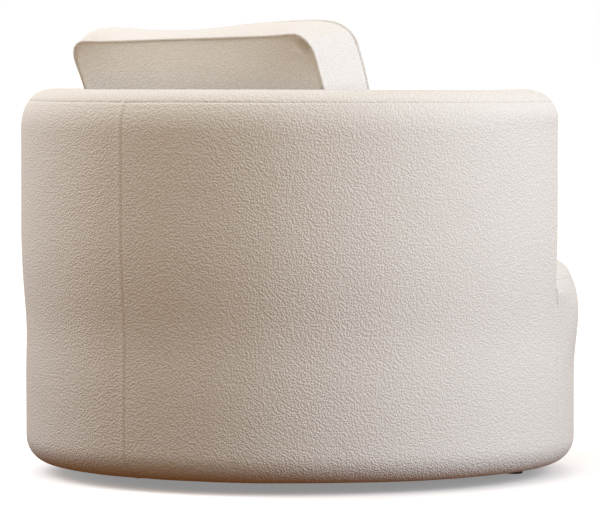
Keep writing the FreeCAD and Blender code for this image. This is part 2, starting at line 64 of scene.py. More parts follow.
def linear(hex_colour: str, alpha: float = 1.0) -> tuple[float, float, float, float]:
    """Turn an sRGB hex colour into linear light.

    Args:
        hex_colour: Six hex digits, with or without a leading hash.
        alpha: Opacity to carry along.

    Returns:
        Red, green, blue and alpha in linear light.
    """
    digits = hex_colour.lstrip("#")
    channels = []
    for i in (0, 2, 4):
        c = int(digits[i:i + 2], 16) / 255.0
        channels.append(c / 12.92 if c <= 0.04045 else ((c + 0.055) / 1.055) ** 2.4)
    return (channels[0], channels[1], channels[2], alpha)


def add_node(tree: bpy.types.NodeTree, kind: str, links: dict | None = None,
             **settings) -> bpy.types.Node:
    """Add a node with its settings, socket values and incoming links.

    Args:
        tree: Node tree to add to.
        kind: Blender's node type name.
        links: Input socket to a value, or to an output socket that feeds it.
        settings: Attributes to set on the node itself.

    Returns:
        The new node.
    """
    node = tree.nodes.new(kind)
    for name, value in settings.items():
        setattr(node, name, value)
    for socket, source in (links or {}).items():
        if isinstance(source, bpy.types.NodeSocket):
            tree.links.new(source, node.inputs[socket])
        else:
            node.inputs[socket].default_value = source
    return node


# ---- Finishes ------------------------------------------------------------------------------------

@dataclass(frozen=True)
class Boucle:
    """Looped cream boucle, woven: small round nubs that catch the light, with the hollows between them
    coloured darker and warmer as painted shade.
    """

    name: str = "cream_boucle"
    loop: str = "F5F3F0"
    # painted shade: colour of the hollows between the loops
    hollow_shade: str = "E0D9CF"
    shade: str = "F0EDE8"
    nub_mm: float = 3.9        # spacing of the loops
    fibre_mm: float = 2.2      # curl of the yarn within a loop
    drift_mm: float = 140.0    # slow change of tone from dye and wear
    wander: float = 0.0035     # how far the loops stray from an even packing
    relief_mm: float = 2.1
    bump: float = 0.72

    def build(self) -> bpy.types.Material:
        """Make the cloth's material and return it."""
        material = bpy.data.materials.new(self.name)
        material.use_nodes = True
        tree = material.node_tree
        tree.nodes.clear()
        place = add_node(tree, "ShaderNodeTexCoord").outputs["Object"]
        wander = add_node(tree, "ShaderNodeTexNoise", {
            "Vector": place, "Scale": 1.0 / (4.0 * self.nub_mm * MM), "Detail": 1.0,
        })
        bent = add_node(tree, "ShaderNodeMix", {
            0: self.wander, "A": place, "B": wander.outputs["Color"],
        }, data_type="VECTOR")
        bent_place = bent.outputs[1]
        loops = add_node(tree, "ShaderNodeTexVoronoi", {
            "Vector": bent_place, "Scale": 1.0 / (self.nub_mm * MM),
        })
        fibres = add_node(tree, "ShaderNodeTexNoise", {
            "Vector": place, "Scale": 1.0 / (self.fibre_mm * MM), "Detail": 2.0, "Roughness": 0.6,
        })
        drift = add_node(tree, "ShaderNodeTexNoise", {
            "Vector": place, "Scale": 1.0 / (self.drift_mm * MM), "Detail": 2.0,
        })
        crest = add_node(tree, "ShaderNodeMapRange", {
            "Value": loops.outputs["Distance"], "From Min": 0.06, "From Max": 0.80,
            "To Min": 1.0, "To Max": 0.0,
        }, interpolation_type="SMOOTHSTEP")
        height = add_node(tree, "ShaderNodeMix", {
            0: 0.3, "A": crest.outputs["Result"], "B": fibres.outputs["Fac"],
        }, data_type="FLOAT")
        yarn = add_node(tree, "ShaderNodeMix", {
            0: drift.outputs["Fac"], "A": linear(self.shade), "B": linear(self.loop),
        }, data_type="RGBA")
        # painted shade: the lower a spot lies between the loops, the more of the darker hollow colour it
        # gets
        colour = add_node(tree, "ShaderNodeMix", {
            0: height.outputs[0], "A": linear(self.hollow_shade), "B": yarn.outputs[2],
        }, data_type="RGBA")
        bump = add_node(tree, "ShaderNodeBump", {
            "Height": height.outputs[0], "Strength": self.bump, "Distance": self.relief_mm * MM,
        })
        shader = add_node(tree, "ShaderNodeBsdfPrincipled", {
            "Base Color": colour.outputs[2], "Roughness": 0.93, "Sheen Weight": 0.18,
            "Sheen Roughness": 0.6, "Specular IOR Level": 0.2, "Normal": bump.outputs["Normal"],
        })
        add_node(tree, "ShaderNodeOutputMaterial", {"Surface": shader.outputs["BSDF"]})
        return material


@dataclass(frozen=True)
class Grained:
    """One colour broken up by a stretched noise, such as wood, felt or moulded plastic."""

    name: str
    light: str
    dark: str
    grain_mm: tuple[float, float, float]
    roughness: float
    metallic: float = 0.0
    relief_mm: float = 0.2
    bump: float = 0.3
    contrast: tuple[float, float] = (0.3, 0.7)
    sheen: float = 0.0

    def build(self) -> bpy.types.Material:
        """Make the material and return it."""
        material = bpy.data.materials.new(self.name)
        material.use_nodes = True
        tree = material.node_tree
        tree.nodes.clear()
        place = add_node(tree, "ShaderNodeTexCoord").outputs["Object"]
        scaled = add_node(tree, "ShaderNodeMapping", {
            "Vector": place, "Scale": tuple(1.0 / (g * MM) for g in self.grain_mm),
        })
        grain = add_node(tree, "ShaderNodeTexNoise", {
            "Vector": scaled.outputs["Vector"], "Scale": 1.0, "Detail": 4.0, "Roughness": 0.6,
        })
        tone = add_node(tree, "ShaderNodeMapRange", {
            "Value": grain.outputs["Fac"], "From Min": self.contrast[0], "From Max": self.contrast[1],
        })
        colour = add_node(tree, "ShaderNodeMix", {
            0: tone.outputs["Result"], "A": linear(self.dark), "B": linear(self.light),
        }, data_type="RGBA")
        bump = add_node(tree, "ShaderNodeBump", {
            "Height": grain.outputs["Fac"], "Strength": self.bump, "Distance": self.relief_mm * MM,
        })
        shader = add_node(tree, "ShaderNodeBsdfPrincipled", {
            "Base Color": colour.outputs[2], "Roughness": self.roughness, "Metallic": self.metallic,
            "Sheen Weight": self.sheen, "Normal": bump.outputs["Normal"],
        })
        add_node(tree, "ShaderNodeOutputMaterial", {"Surface": shader.outputs["BSDF"]})
        return material


class Finish(Enum):
    """Every finish on the chair, by the record's material slot."""

    BOUCLE = "boucle"
    SOFT_BOUCLE = "soft_boucle"
    TIMBER = "timber"
    HARDBOARD = "hardboard"
    WEBBING = "webbing"
    SPRING_STEEL = "spring_steel"
    FELT = "felt"
    FOAM = "foam"
    DUST_CLOTH = "dust_cloth"
    FEET = "feet"
    SCREWS = "screws"
    FILLING = "filling"
    ZIP_TAPE = "zip_tape"
    ZIP_METAL = "zip_metal"


@dataclass
class Finishes:
    """Builds each finish once and hands it out."""

    made: dict[Finish, bpy.types.Material] = field(default_factory=dict)

    def recipes(self) -> dict[Finish, Boucle | Grained]:
        """The finish that each slot starts from."""
        return {
            Finish.BOUCLE: Boucle(),
            # The loose cushion's cloth is the same boucle, slack and brushed flatter, with a lighter
            # painted shade in its hollows so that the cushion reads lighter than the wall
            Finish.SOFT_BOUCLE: Boucle(
                "soft_boucle", loop="F3F1ED", hollow_shade="E6E1DA", relief_mm=1.9, bump=0.5),
            # Sanded birch plywood: fine straight grain, dull
            Finish.TIMBER: Grained("birch_plywood", "D9BE93", "B8935F", (60.0, 4.0, 2.0), 0.6),
            # Pressed hardboard: mottled brown, slightly polished by the press
            Finish.HARDBOARD: Grained("pressed_hardboard", "8A6745", "6B4C31", (5.0, 5.0, 5.0), 0.45),
            # Woven polypropylene: close ribs along the strap
            Finish.WEBBING: Grained("woven_webbing", "57534B", "3C3934", (2.0, 2.0, 1.2), 0.8),
            # Drawn, lacquered spring wire: dark and a little streaky
            Finish.SPRING_STEEL: Grained("drawn_wire", "6A6B6E", "4C4D50", (1.0, 1.0, 8.0), 0.38, 1.0),
            # Needled felt: matted grey fibre
            Finish.FELT: Grained("needled_felt", "9A958C", "777168", (3.0, 3.0, 3.0), 0.95, sheen=0.2),
            # Cut polyurethane foam: fine open cells
            Finish.FOAM: Grained("cut_foam", "F3ECD5", "E2D6B4", (1.6, 1.6, 1.6), 0.95),
            # Spun-bonded black nonwoven: matt, with a dimpled bond pattern
            Finish.DUST_CLOTH: Grained("spunbond_black", "1C1C1C", "101010", (2.4, 2.4, 2.4), 0.9),
            # Moulded black polypropylene: soft satin with a fine spark texture
            Finish.FEET: Grained("moulded_polypropylene", "1B1B1C", "121213", (0.8, 0.8, 0.8), 0.5),
            Finish.SCREWS: Grained("zinc_plate", "C4C6C8", "A6A8AB", (2.0, 2.0, 2.0), 0.35, 1.0),
            Finish.FILLING: Grained("cushion_foam", "F2EEE2", "E2DCCB", (1.8, 1.8, 1.8), 0.95),
            # Woven polyester zip tape: cream, with a close herringbone
            Finish.ZIP_TAPE: Grained("woven_zip_tape", "DDD5C6", "C8BEAB", (1.0, 1.0, 0.7), 0.85),
            # Nickel-plated die-cast zinc: bright, softly rounded
            Finish.ZIP_METAL: Grained("nickel_plate", "C9C4BA", "B0AAA0", (3.0, 3.0, 3.0), 0.28, 1.0),
        }

    def get(self, finish: Finish) -> bpy.types.Material:
        """Build a finish the first time it is asked for."""
        if finish not in self.made:
            self.made[finish] = self.recipes()[finish].build()
        return self.made[finish]


# ---- Mesh helpers --------------------------------------------------------------------------------

def new_piece(name: str, bm: bmesh.types.BMesh, material: bpy.types.Material) -> bpy.types.Object:
    """Turn a bmesh into a linked, smooth-shaded object at the origin.

    Args:
        name: Object and mesh name.
        bm: Finished bmesh; it is freed here.
        material: Material for every face.

    Returns:
        The new object.
    """
    mesh = bpy.data.meshes.new(name)
    bm.to_mesh(mesh)
    bm.free()
    mesh.shade_smooth()
    mesh.materials.append(material)
    piece = bpy.data.objects.new(name, mesh)
    bpy.context.scene.collection.objects.link(piece)
    return piece


def subdivide(piece: bpy.types.Object) -> None:
    """Add one level of subdivision surface, the same in the view and the render."""
    modifier = piece.modifiers.new("smooth", "SUBSURF")
    modifier.levels = modifier.render_levels = 1
    modifier.boundary_smooth = "PRESERVE_CORNERS"


def thicken(piece: bpy.types.Object, thickness: float) -> None:
    """Give an open cover its cloth thickness, inwards."""
    modifier = piece.modifiers.new("cloth", "SOLIDIFY")
    modifier.thickness = thickness
    modifier.offset = -1.0


def evenly(start: float, end: float, step: float) -> list[float]:
    """Values from start to end, both included, about step apart."""
    count = max(1, round(abs(end - start) / step))
    return [start + (end - start) * i / count for i in range(count + 1)]


def bell(distance: float, width: float) -> float:
    """Bump of height 1 at distance 0 that fades over width."""
    return math.exp(-((distance / width) ** 2))


def smoothstep(value: float, low: float, high: float) -> float:
    """Ease from 0 at low to 1 at high."""
    t = min(1.0, max(0.0, (value - low) / (high - low)))
    return t * t * (3.0 - 2.0 * t)


@dataclass(frozen=True)
class Rise:
    """Bell-shaped rise across a line, or a hollow where it is taken away."""

    height: float
    width: float
    at: float = 0.0

    def of(self, distance: float) -> float:
        """Height at a distance from the line."""
        return self.height * bell(distance - self.at, self.width)


@dataclass(frozen=True)
class Ripple:
    """Smooth, repeatable unevenness of hand-stretched cloth."""

    size: float     # from one wave to the next
    depth: float
    seed: float     # picks the pattern

    def of(self, place: Vector) -> float:
        """Height at a place, between about -depth and depth."""
        shift = Vector((self.seed, 2.0 * self.seed, -self.seed))
        return self.depth * noise.noise(place / self.size + shift)


def loft(
    bm: bmesh.types.BMesh, rows: list[list[Vector]], closed: bool = False,
) -> list[bmesh.types.BMVert]:
    """Extrude a first row of points through all the others.

    Each point is marked with its place along its row, in the layer column, and its row's number, in
    the layer row.

    Args:
        bm: Empty bmesh to build in.
        rows: Points of each row, all rows of one length.
        closed: True where each row joins up to a ring.

    Returns:
        The last row's points in order.
    """
    column = bm.verts.layers.int.new("column")
    number = bm.verts.layers.int.new("row")
    last = [bm.verts.new(place) for place in rows[0]]
    for i, vert in enumerate(last):
        vert[column] = i
    edges = [bm.edges.new(pair) for pair in zip(last, last[1:] + (last[:1] if closed else []))]
    for i, row in enumerate(rows[1:], 1):
        made = bmesh.ops.extrude_edge_only(bm, edges=edges)["geom"]
        last = [g for g in made if isinstance(g, bmesh.types.BMVert)]
        for vert in last:
            vert[number] = i
            vert.co = row[vert[column]]
        edges = [
            g for g in made
            if isinstance(g, bmesh.types.BMEdge) and all(v[number] == i for v in g.verts)
        ]
    return sorted(last, key=lambda v: v[column])


def cut_into_cells(bm: bmesh.types.BMesh, face: bmesh.types.BMFace,
                   planes: Iterable[tuple[Vector, Vector]]) -> None:
    """Cut one flat face into even cells, so that it smooths without creases.

    Args:
        bm: Bmesh that holds the face.
        face: The face.
        planes: A point and a normal of each cut.
    """
    geometry = [face, *face.edges, *face.verts]
    for place, normal in planes:
        cut = bmesh.ops.bisect_plane(bm, geom=geometry, plane_co=place, plane_no=normal, dist=0.0002)
        geometry = cut["geom"]


# ---- Section of the wall and the seat ------------------------------------------------------------

@dataclass(frozen=True)
class BodySection:
    """Radial sections of the body. A station is radius, height and outward normal."""

    radius: float = 0.540
    waist: float = 0.532
    tuck: float = 0.482
    edge: float = 0.472
    wall: float = 0.126
    floor_gap: float = 0.020
    tuck_round: float = 0.050
    waist_top: float = 0.240
    bulge_bottom: float = 0.470
    shoulder_z: float = 0.665
    seam_z: float = 0.719
    seam_in: float = 0.014
    crown_z: float = 0.741
    seat_z: float = 0.415
    nose_z: float = 0.312
    nose_low_radius: float = 0.179
    nose_seam_z: float = 0.380
    front_waist_low: float = 0.200
    waist_pull: float = 0.0025
    pull_z: float = 0.285
    pull_height: float = 0.070
    step: float = 0.0095
    rim_step: float = 0.006
    nose_step: float = 0.007
    seam_step: float = 0.0022
    seam_rows: int = 4

    def arc(self, centre: tuple[float, float], radius: float, start: float, end: float,
            step: float | None = None) -> list[Station]:
        """Stations along an arc, by its angles in degrees above the horizontal."""
        length = radius * math.radians(abs(end - start))
        angles = evenly(start, end, abs(end - start) * (step or self.step) / length)
        return [self.on_arc(centre, radius, a) for a in angles]

    @staticmethod
    def on_arc(centre: tuple[float, float], radius: float, degrees: float) -> Station:
        """One station on an arc."""
        a = math.radians(degrees)
        c, s = math.cos(a), math.sin(a)
        return (centre[0] + radius * c, centre[1] + radius * s, c, s)

    def straight(self, a: tuple[float, float], b: tuple[float, float]) -> list[Station]:
        """Stations along a straight run, with the outside on its right."""
        dx, dz = b[0] - a[0], b[1] - a[1]
        length = math.hypot(dx, dz)
        return [
            (a[0] + dx * t, a[1] + dz * t, dz / length, -dx / length)
            for t in evenly(0.0, 1.0, self.step / length)
        ]

    def swell(self, low: float, high: float, start: float, end: float) -> list[Station]:
        """Stations up the side, easing from the waist to the full radius between start and end."""
        places = []
        for z in evenly(low, high, self.step):
            places.append((self.waist + (self.radius - self.waist) * smoothstep(z, start, end), z))
        stations = []
        for i, (r, z) in enumerate(places):
            a, b = places[max(0, i - 1)], places[min(len(places) - 1, i + 1)]
            length = math.hypot(b[0] - a[0], b[1] - a[1])
            stations.append((r, z, (b[1] - a[1]) / length, (a[0] - b[0]) / length))
        return stations

    def pulled_in(self, height: float) -> float:
        """How far the tight cover draws the wall's waist in at a height."""
        return self.waist_pull * bell(height - self.pull_z, self.pull_height)

    def side_radius(self, height: float) -> float:
        """Outside radius of the wall at a height above its tuck."""
        swollen = smoothstep(height, self.waist_top, self.bulge_bottom)
        return self.waist + (self.radius - self.waist) * swollen - self.pulled_in(height)

    def near_seam(self, run: list[Station], at_start: bool, at_end: bool) -> list[Station]:
        """Put closely spaced stations next to a run's seamed ends, so that the seam can sink in."""
        offsets = [self.seam_step * i for i in range(1, self.seam_rows + 1)]
        result = list(run)
        if at_start:
            result = [result[0]] + [self.between(result[0], result[2], o) for o in offsets] + result[2:]
        if at_end:
            tail = [self.between(result[-1], result[-3], o) for o in reversed(offsets)]
            result = result[:-2] + tail + [result[-1]]
        return result

    @staticmethod
    def between(a: Station, b: Station, distance: float) -> Station:
        """The station at a distance from a, on the way to b."""
        t = distance / math.hypot(b[0] - a[0], b[1] - a[1])
        mixed = [a[i] + (b[i] - a[i]) * t for i in range(4)]
        length = math.hypot(mixed[2], mixed[3])
        return (mixed[0], mixed[1], mixed[2] / length, mixed[3] / length)

    def shoulder(self) -> tuple[tuple[float, float], float, float]:
        """Centre, radius and end angle of the arc from the wall to the outer rim seam."""
        rise = self.seam_z - self.shoulder_z
        radius = (self.seam_in ** 2 + rise ** 2) / (2.0 * self.seam_in)
        return (self.radius - radius, self.shoulder_z), radius, math.degrees(math.asin(rise / radius))

    def outer(self) -> list[Station]:
        """Outside of the wall, from its stapled edge underneath up to the outer rim seam."""
        gap = self.floor_gap
        centre, radius, end = self.shoulder()
        run = self.straight((self.edge, gap), (self.tuck, gap))
        run += self.arc((self.tuck, gap + self.tuck_round), self.tuck_round, -90.0, 0.0)[1:]
        run += self.swell(gap + self.tuck_round, self.shoulder_z, self.waist_top, self.bulge_bottom)[1:]
        run += self.arc(centre, radius, 0.0, end)[1:]
        return self.near_seam(run, False, True)

    def rim(self) -> list[Station]:
        """Crowned rim between its two seams."""
        half = 0.5 * self.wall - self.seam_in
        rise = self.crown_z - self.seam_z
        radius = (half ** 2 + rise ** 2) / (2.0 * rise)
        start = math.degrees(math.asin((radius - rise) / radius))
        centre = (self.radius - 0.5 * self.wall, self.crown_z - radius)
        run = self.arc(centre, radius, start, 180.0 - start, self.rim_step)
        return self.near_seam(run, True, True)

    def inner(self, bottom: float) -> list[Station]:
        """Inside of the wall, from the inner rim seam down."""
        centre, radius, end = self.shoulder()
        mirrored = (2.0 * self.radius - self.wall - centre[0], centre[1])
        face = self.radius - self.wall
        run = self.arc(mirrored, radius, 180.0 - end, 180.0)
        run += self.straight((face, self.shoulder_z), (face, bottom))[1:]
        return self.near_seam(run, True, False)

    def nose_arc(self) -> tuple[tuple[float, float], float, float]:
        """Centre, radius and end angle of the curve below the nose seam."""
        angle = math.degrees(math.asin((self.nose_seam_z - self.nose_z) / self.nose_low_radius))
        return (self.radius - self.nose_low_radius, self.nose_z), self.nose_low_radius, angle

    def nose_top(self) -> list[Station]:
        """From the nose seam up and in to the flat of the seat."""
        centre, radius, angle = self.nose_arc()
        seam = self.on_arc(centre, radius, angle)
        top_radius = (self.seat_z - seam[1]) / (1.0 - math.sin(math.radians(angle)))
        top_centre = (seam[0] - top_radius * math.cos(math.radians(angle)), self.seat_z - top_radius)
        run = self.arc(top_centre, top_radius, angle, 90.0, self.nose_step)
        return self.near_seam(run, True, False)

    def front(self) -> list[Station]:
        """Outside of the front, from under the base up to the nose seam."""
        gap = self.floor_gap
        centre, radius, angle = self.nose_arc()
        run = self.straight((self.edge, gap), (self.tuck, gap))
        run += self.arc((self.tuck, gap + self.tuck_round), self.tuck_round, -90.0, 0.0)[1:]
        run += self.swell(gap + self.tuck_round, self.nose_z, self.front_waist_low, self.nose_z)[1:]
        run += self.arc(centre, radius, 0.0, angle)[1:]
        return self.near_seam(run, False, True)


def around(radius: float, angle: float, height: float) -> Vector:
    """Point at a radius and an angle in radians from the middle of the back towards +X."""
    return Vector((radius * math.sin(angle), radius * math.cos(angle), height))


# ---- Wall ----------------------------------------------------------------------------------------

@dataclass
class Wall:
    """The curved back and arms: two outside halves, the rim band with its arm ends, and the inside."""

    section: BodySection
    finishes: Finishes
    arm_angle: float = 104.0
    end_round: float = 0.028
    end_steps: int = 10
    end_rows: tuple[float, ...] = (0.005, 0.010)   # extra insets on the flat of the arm end
    corner_spread: float = 0.026   # how far the turn at a rim seam is spread where the end is rounded
    fade_below: float = 0.035      # the inside's rounded edge fades from here below the seat
    fade_above: float = 0.015
    facing_cell: float = 0.012
    facing_heel: float = 0.507     # radius of the facing's hidden strip below the seat
    facing_foot: float = 0.068     # height of its lower end
    inner_bottom: float = 0.305
    row_step: float = 0.0095
    seam_rows: int = 4
    seam_step: float = 0.0022
    groove: Rise = Rise(0.0022, 0.0026)
    draw_in: Rise = Rise(0.0008, 0.014)
    back_groove: Rise = Rise(0.0009, 0.0026)
    back_draw_in: Rise = Rise(0.0006, 0.03)
    allowance: Rise = Rise(0.0013, 0.0030, 0.0065)   # turned-in cloth beside the seam at the back
    end_fullness: float = 0.005
    fullness_turn: tuple[float, float] = (34.0, 4.0)  # degrees from the arm end: starts, is full
    fullness_top: float = 0.700    # height where it is full
    loose: Ripple = Ripple(0.22, 0.0010, 3.1)
    loose_most: float = 0.95       # share of the loose ripple along the wall
    loose_least: float = 0.30      # share of it on the rounded arm end
    loose_fade: float = 0.004
    fine: Ripple = Ripple(0.06, 0.0003, 7.7)
    core_depth: float = 0.05       # how far below its surface the wall's core is looked for
    cloth: float = 0.003

    def __post_init__(self) -> None:
        """Lay out the section's stations and the rows of one half."""
        outer, rim = self.section.outer(), self.section.rim()
        inner = self.section.inner(self.inner_bottom)
        self.stations = outer + rim[1:] + inner[1:]
        self.outer_seam = len(outer) - 1
        self.inner_seam = self.outer_seam + len(rim) - 1
        self.runs = [0.0]
        for a, b in zip(self.stations, self.stations[1:]):
            self.runs.append(self.runs[-1] + math.hypot(b[0] - a[0], b[1] - a[1]))
        self.inwards = [self.inward(run) for run in self.runs]
        self.row_table = self.rows()
        self.facing = len(self.row_table) - 1 - len(self.end_rows)

    def inward(self, run: float) -> tuple[float, float]:
        """Outward normal, radial and upward, averaged along the section around a place.

        The rounded arm end steps in against it, so that its steps don't cross at a rim seam.
        """
        across = up = 0.0
        for i, (_, _, nr, nz) in enumerate(self.stations):
            before, after = self.runs[max(0, i - 1)], self.runs[min(len(self.runs) - 1, i + 1)]
            weight = bell(self.runs[i] - run, self.corner_spread) * (after - before)
            across += weight * nr
            up += weight * nz
        length = math.hypot(across, up)
        return (across / length, up / length)

    def rows(self) -> list[tuple[float, float, float]]:
        """Angle from the middle of the back, edge inset and flat inset of one half's rows."""
        radius = self.section.radius
        end = math.radians(self.arm_angle)
        straight_end = end - self.end_round / radius
        start = [self.seam_step * i / radius for i in range(self.seam_rows + 1)]
        rows = [(a, 0.0) for a in start]
        rows += [(a, 0.0) for a in evenly(start[-1], straight_end, self.row_step / radius)[1:]]
        for i in range(1, self.end_steps + 1):
            turn = 0.5 * math.pi * i / self.end_steps
            angle = straight_end + self.end_round * math.sin(turn) / radius
            rows.append((angle, self.end_round * (1.0 - math.cos(turn))))
        rows = [(*row, 0.0) for row in rows]
        rows += [(*rows[-1][:2], inset) for inset in self.end_rows]
        return rows

    def place(self, column: int, row: int, side: float) -> Vector:
        """Finished place of one point of the wall, with its seams drawn in and its cloth rippled.

        Args:
            column: Index along the section.
            row: Index along the half.
            side: 1 for the +X half, -1 for the other.

        Returns:
            The point.
        """
        section = self.section
        angle, inset, flat_inset = self.row_table[row]
        r, z, nr, nz = self.stations[column]
        run = self.runs[column]
        seam = min(abs(run - self.runs[self.outer_seam]), abs(run - self.runs[self.inner_seam]))
        if column < self.inner_seam:
            inset *= smoothstep(z, section.nose_z, section.seat_z)
        else:
            inset *= smoothstep(z, section.seat_z - self.fade_below, section.seat_z + self.fade_above)
        depth = self.groove.of(seam) + self.draw_in.of(seam)
        if column <= self.outer_seam:
            middle = angle * section.radius
            depth += section.pulled_in(z) + self.back_groove.of(middle) + self.back_draw_in.of(middle)
            depth -= self.allowance.of(side * middle)
        r += self.end_fullness * self.fullness(angle, r, z)
        flat = around(r, angle * side, z)
        share = max(self.loose_least, self.loose_most - inset / self.loose_fade)
        depth -= self.loose.of(flat) * share + self.fine.of(flat)
        across, up = self.inwards[column]
        step_in = inset + flat_inset
        return around(r - nr * depth - across * step_in, angle * side, z - nz * depth - up * step_in)

    def fullness(self, angle: float, radius: float, height: float) -> float:
        """How much of the extra padding at the arm ends' outer shoulder a point has, from 0 to 1."""
        section = self.section
        middle = section.radius - 0.5 * section.wall
        outward = max(0.0, (radius - middle) / (section.radius - middle))
        start, full = (self.arm_angle - turn for turn in self.fullness_turn)
        near_end = smoothstep(math.degrees(angle), start, full)
        return outward * near_end * smoothstep(height, section.shoulder_z, self.fullness_top)

    def half(self, side: float) -> bmesh.types.BMesh:
        """Extrude one half of the wall row by row from the middle of the back to its arm end."""
        bm = bmesh.new()
        columns = range(len(self.stations))
        loft(bm, [[self.place(c, row, side) for c in columns] for row in range(len(self.row_table))])
        return bm

    def panel(self, name: str, sides: Iterable[float], keep: Callable[[int, int], bool],
              faced: bool = False) -> bpy.types.Object:
        """Make a cover from the faces of both or one half that keep accepts by column and row.

        Args:
            name: Name of the piece.
            sides: Halves that the cover runs over.
            keep: Takes a face's lowest column and row.
            faced: True where the cover closes the flat of the arm ends.

        Returns:
            The cover.
        """
        whole = bmesh.new()
        for side in sides:
            bm = self.halves[side].copy()
            self.pin_corners(bm)
            self.trim(bm, keep)
            if faced:
                self.face_end(bm, side)
            mesh = bpy.data.meshes.new("half")
            bm.to_mesh(mesh)
            bm.free()
            whole.from_mesh(mesh)
            bpy.data.meshes.remove(mesh)
        bmesh.ops.remove_doubles(whole, verts=whole.verts, dist=0.00005)
        bmesh.ops.recalc_face_normals(whole, faces=whole.faces)
        self.turn_out(whole)
        return self.finish(name, whole)

    def pin_corners(self, bm: bmesh.types.BMesh) -> None:
        """Keep the points where three covers meet in place when the covers are smoothed."""
        col, row = bm.verts.layers.int["column"], bm.verts.layers.int["row"]
        crease = bm.verts.layers.float.new("crease_vert")
        for vert in bm.verts:
            if vert[row] == self.facing and vert[col] in (self.outer_seam, self.inner_seam):
                vert[crease] = 1.0

    @staticmethod
    def trim(bm: bmesh.types.BMesh, keep: Callable[[int, int], bool]) -> None:
        """Delete the faces that a cover doesn't have."""
        col, row = bm.verts.layers.int["column"], bm.verts.layers.int["row"]
        gone = [
            f for f in bm.faces
            if not keep(min(v[col] for v in f.verts), min(v[row] for v in f.verts))
        ]
        bmesh.ops.delete(bm, geom=gone, context="FACES")

    def face_end(self, bm: bmesh.types.BMesh, side: float) -> None:
        """Fill the flat of the arm end inside its rounded edge."""
        section = self.section
        col, row = bm.verts.layers.int["column"], bm.verts.layers.int["row"]
        last = len(self.row_table) - 1
        ring = sorted((v for v in bm.verts if v[row] == last), key=lambda v: v[col])
        angle = self.row_table[last][0] * side
        heel = (self.inner_bottom, self.facing_foot)
        corner = [bm.verts.new(around(self.facing_heel, angle, z)) for z in heel]
        out = around(1.0, angle, 0.0)
        reach = evenly(section.radius - section.wall, section.radius, self.facing_cell)
        heights = evenly(0.0, section.crown_z, self.facing_cell)
        planes = [(Vector((0.0, 0.0, z)), Vector((0.0, 0.0, 1.0))) for z in heights]
        planes += [(out * r, out) for r in reach]
        cut_into_cells(bm, bm.faces.new(ring + corner), planes)

    def turn_out(self, bm: bmesh.types.BMesh) -> None:
        """Turn the faces outwards, judged by the uppermost face."""
        top = max(bm.faces, key=lambda f: f.calc_center_median().z)
        place = top.calc_center_median()
        middle = Vector((place.x, place.y, 0.0)).normalized()
        middle *= self.section.radius - 0.5 * self.section.wall
        middle.z = place.z - self.core_depth
        if top.normal.dot(place - middle) < 0.0:
            bmesh.ops.reverse_faces(bm, faces=bm.faces)

    def finish(self, name: str, bm: bmesh.types.BMesh) -> bpy.types.Object:
        """Make the piece, smooth it and give it its cloth thickness."""
        piece = new_piece(name, bm, self.finishes.get(Finish.BOUCLE))
        rows = piece.data.attributes["row"].data
        for edge in piece.data.edges:
            edge.use_edge_sharp = all(rows[i].value == self.facing for i in edge.vertices)
        subdivide(piece)
        thicken(piece, self.cloth)
        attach(piece, "chair")
        log.info("wall: %s", name)
        return piece

    def build(self) -> None:
        """Make the wall's covers and retire the plain solids they stand for."""
        self.halves = {side: self.half(side) for side in (1.0, -1.0)}
        seam, inner, facing = self.outer_seam, self.inner_seam, self.facing
        left = self.panel("outside_cover_left", [1.0], lambda c, r: c < seam and r < facing)
        right = self.panel("outside_cover_right", [-1.0], lambda c, r: c < seam and r < facing)
        inside = self.panel("inside_cover", [1.0, -1.0], lambda c, r: c >= inner and r < facing)
        band = self.panel("band_cover", [1.0, -1.0], lambda c, r: seam <= c < inner or r >= facing, True)
        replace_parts(left, "outer_cover_left", "outer_foam")
        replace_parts(right, "outer_cover_right")
        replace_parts(inside, "inner_cover", "inner_foam")
        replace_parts(band, "rim_cover", "rim_foam", "arm_end_cover_left", "arm_end_cover_right",
                    "arm_end_foam_left", "arm_end_foam_right")


# ---- Seat ----------------------------------------------------------------------------------------

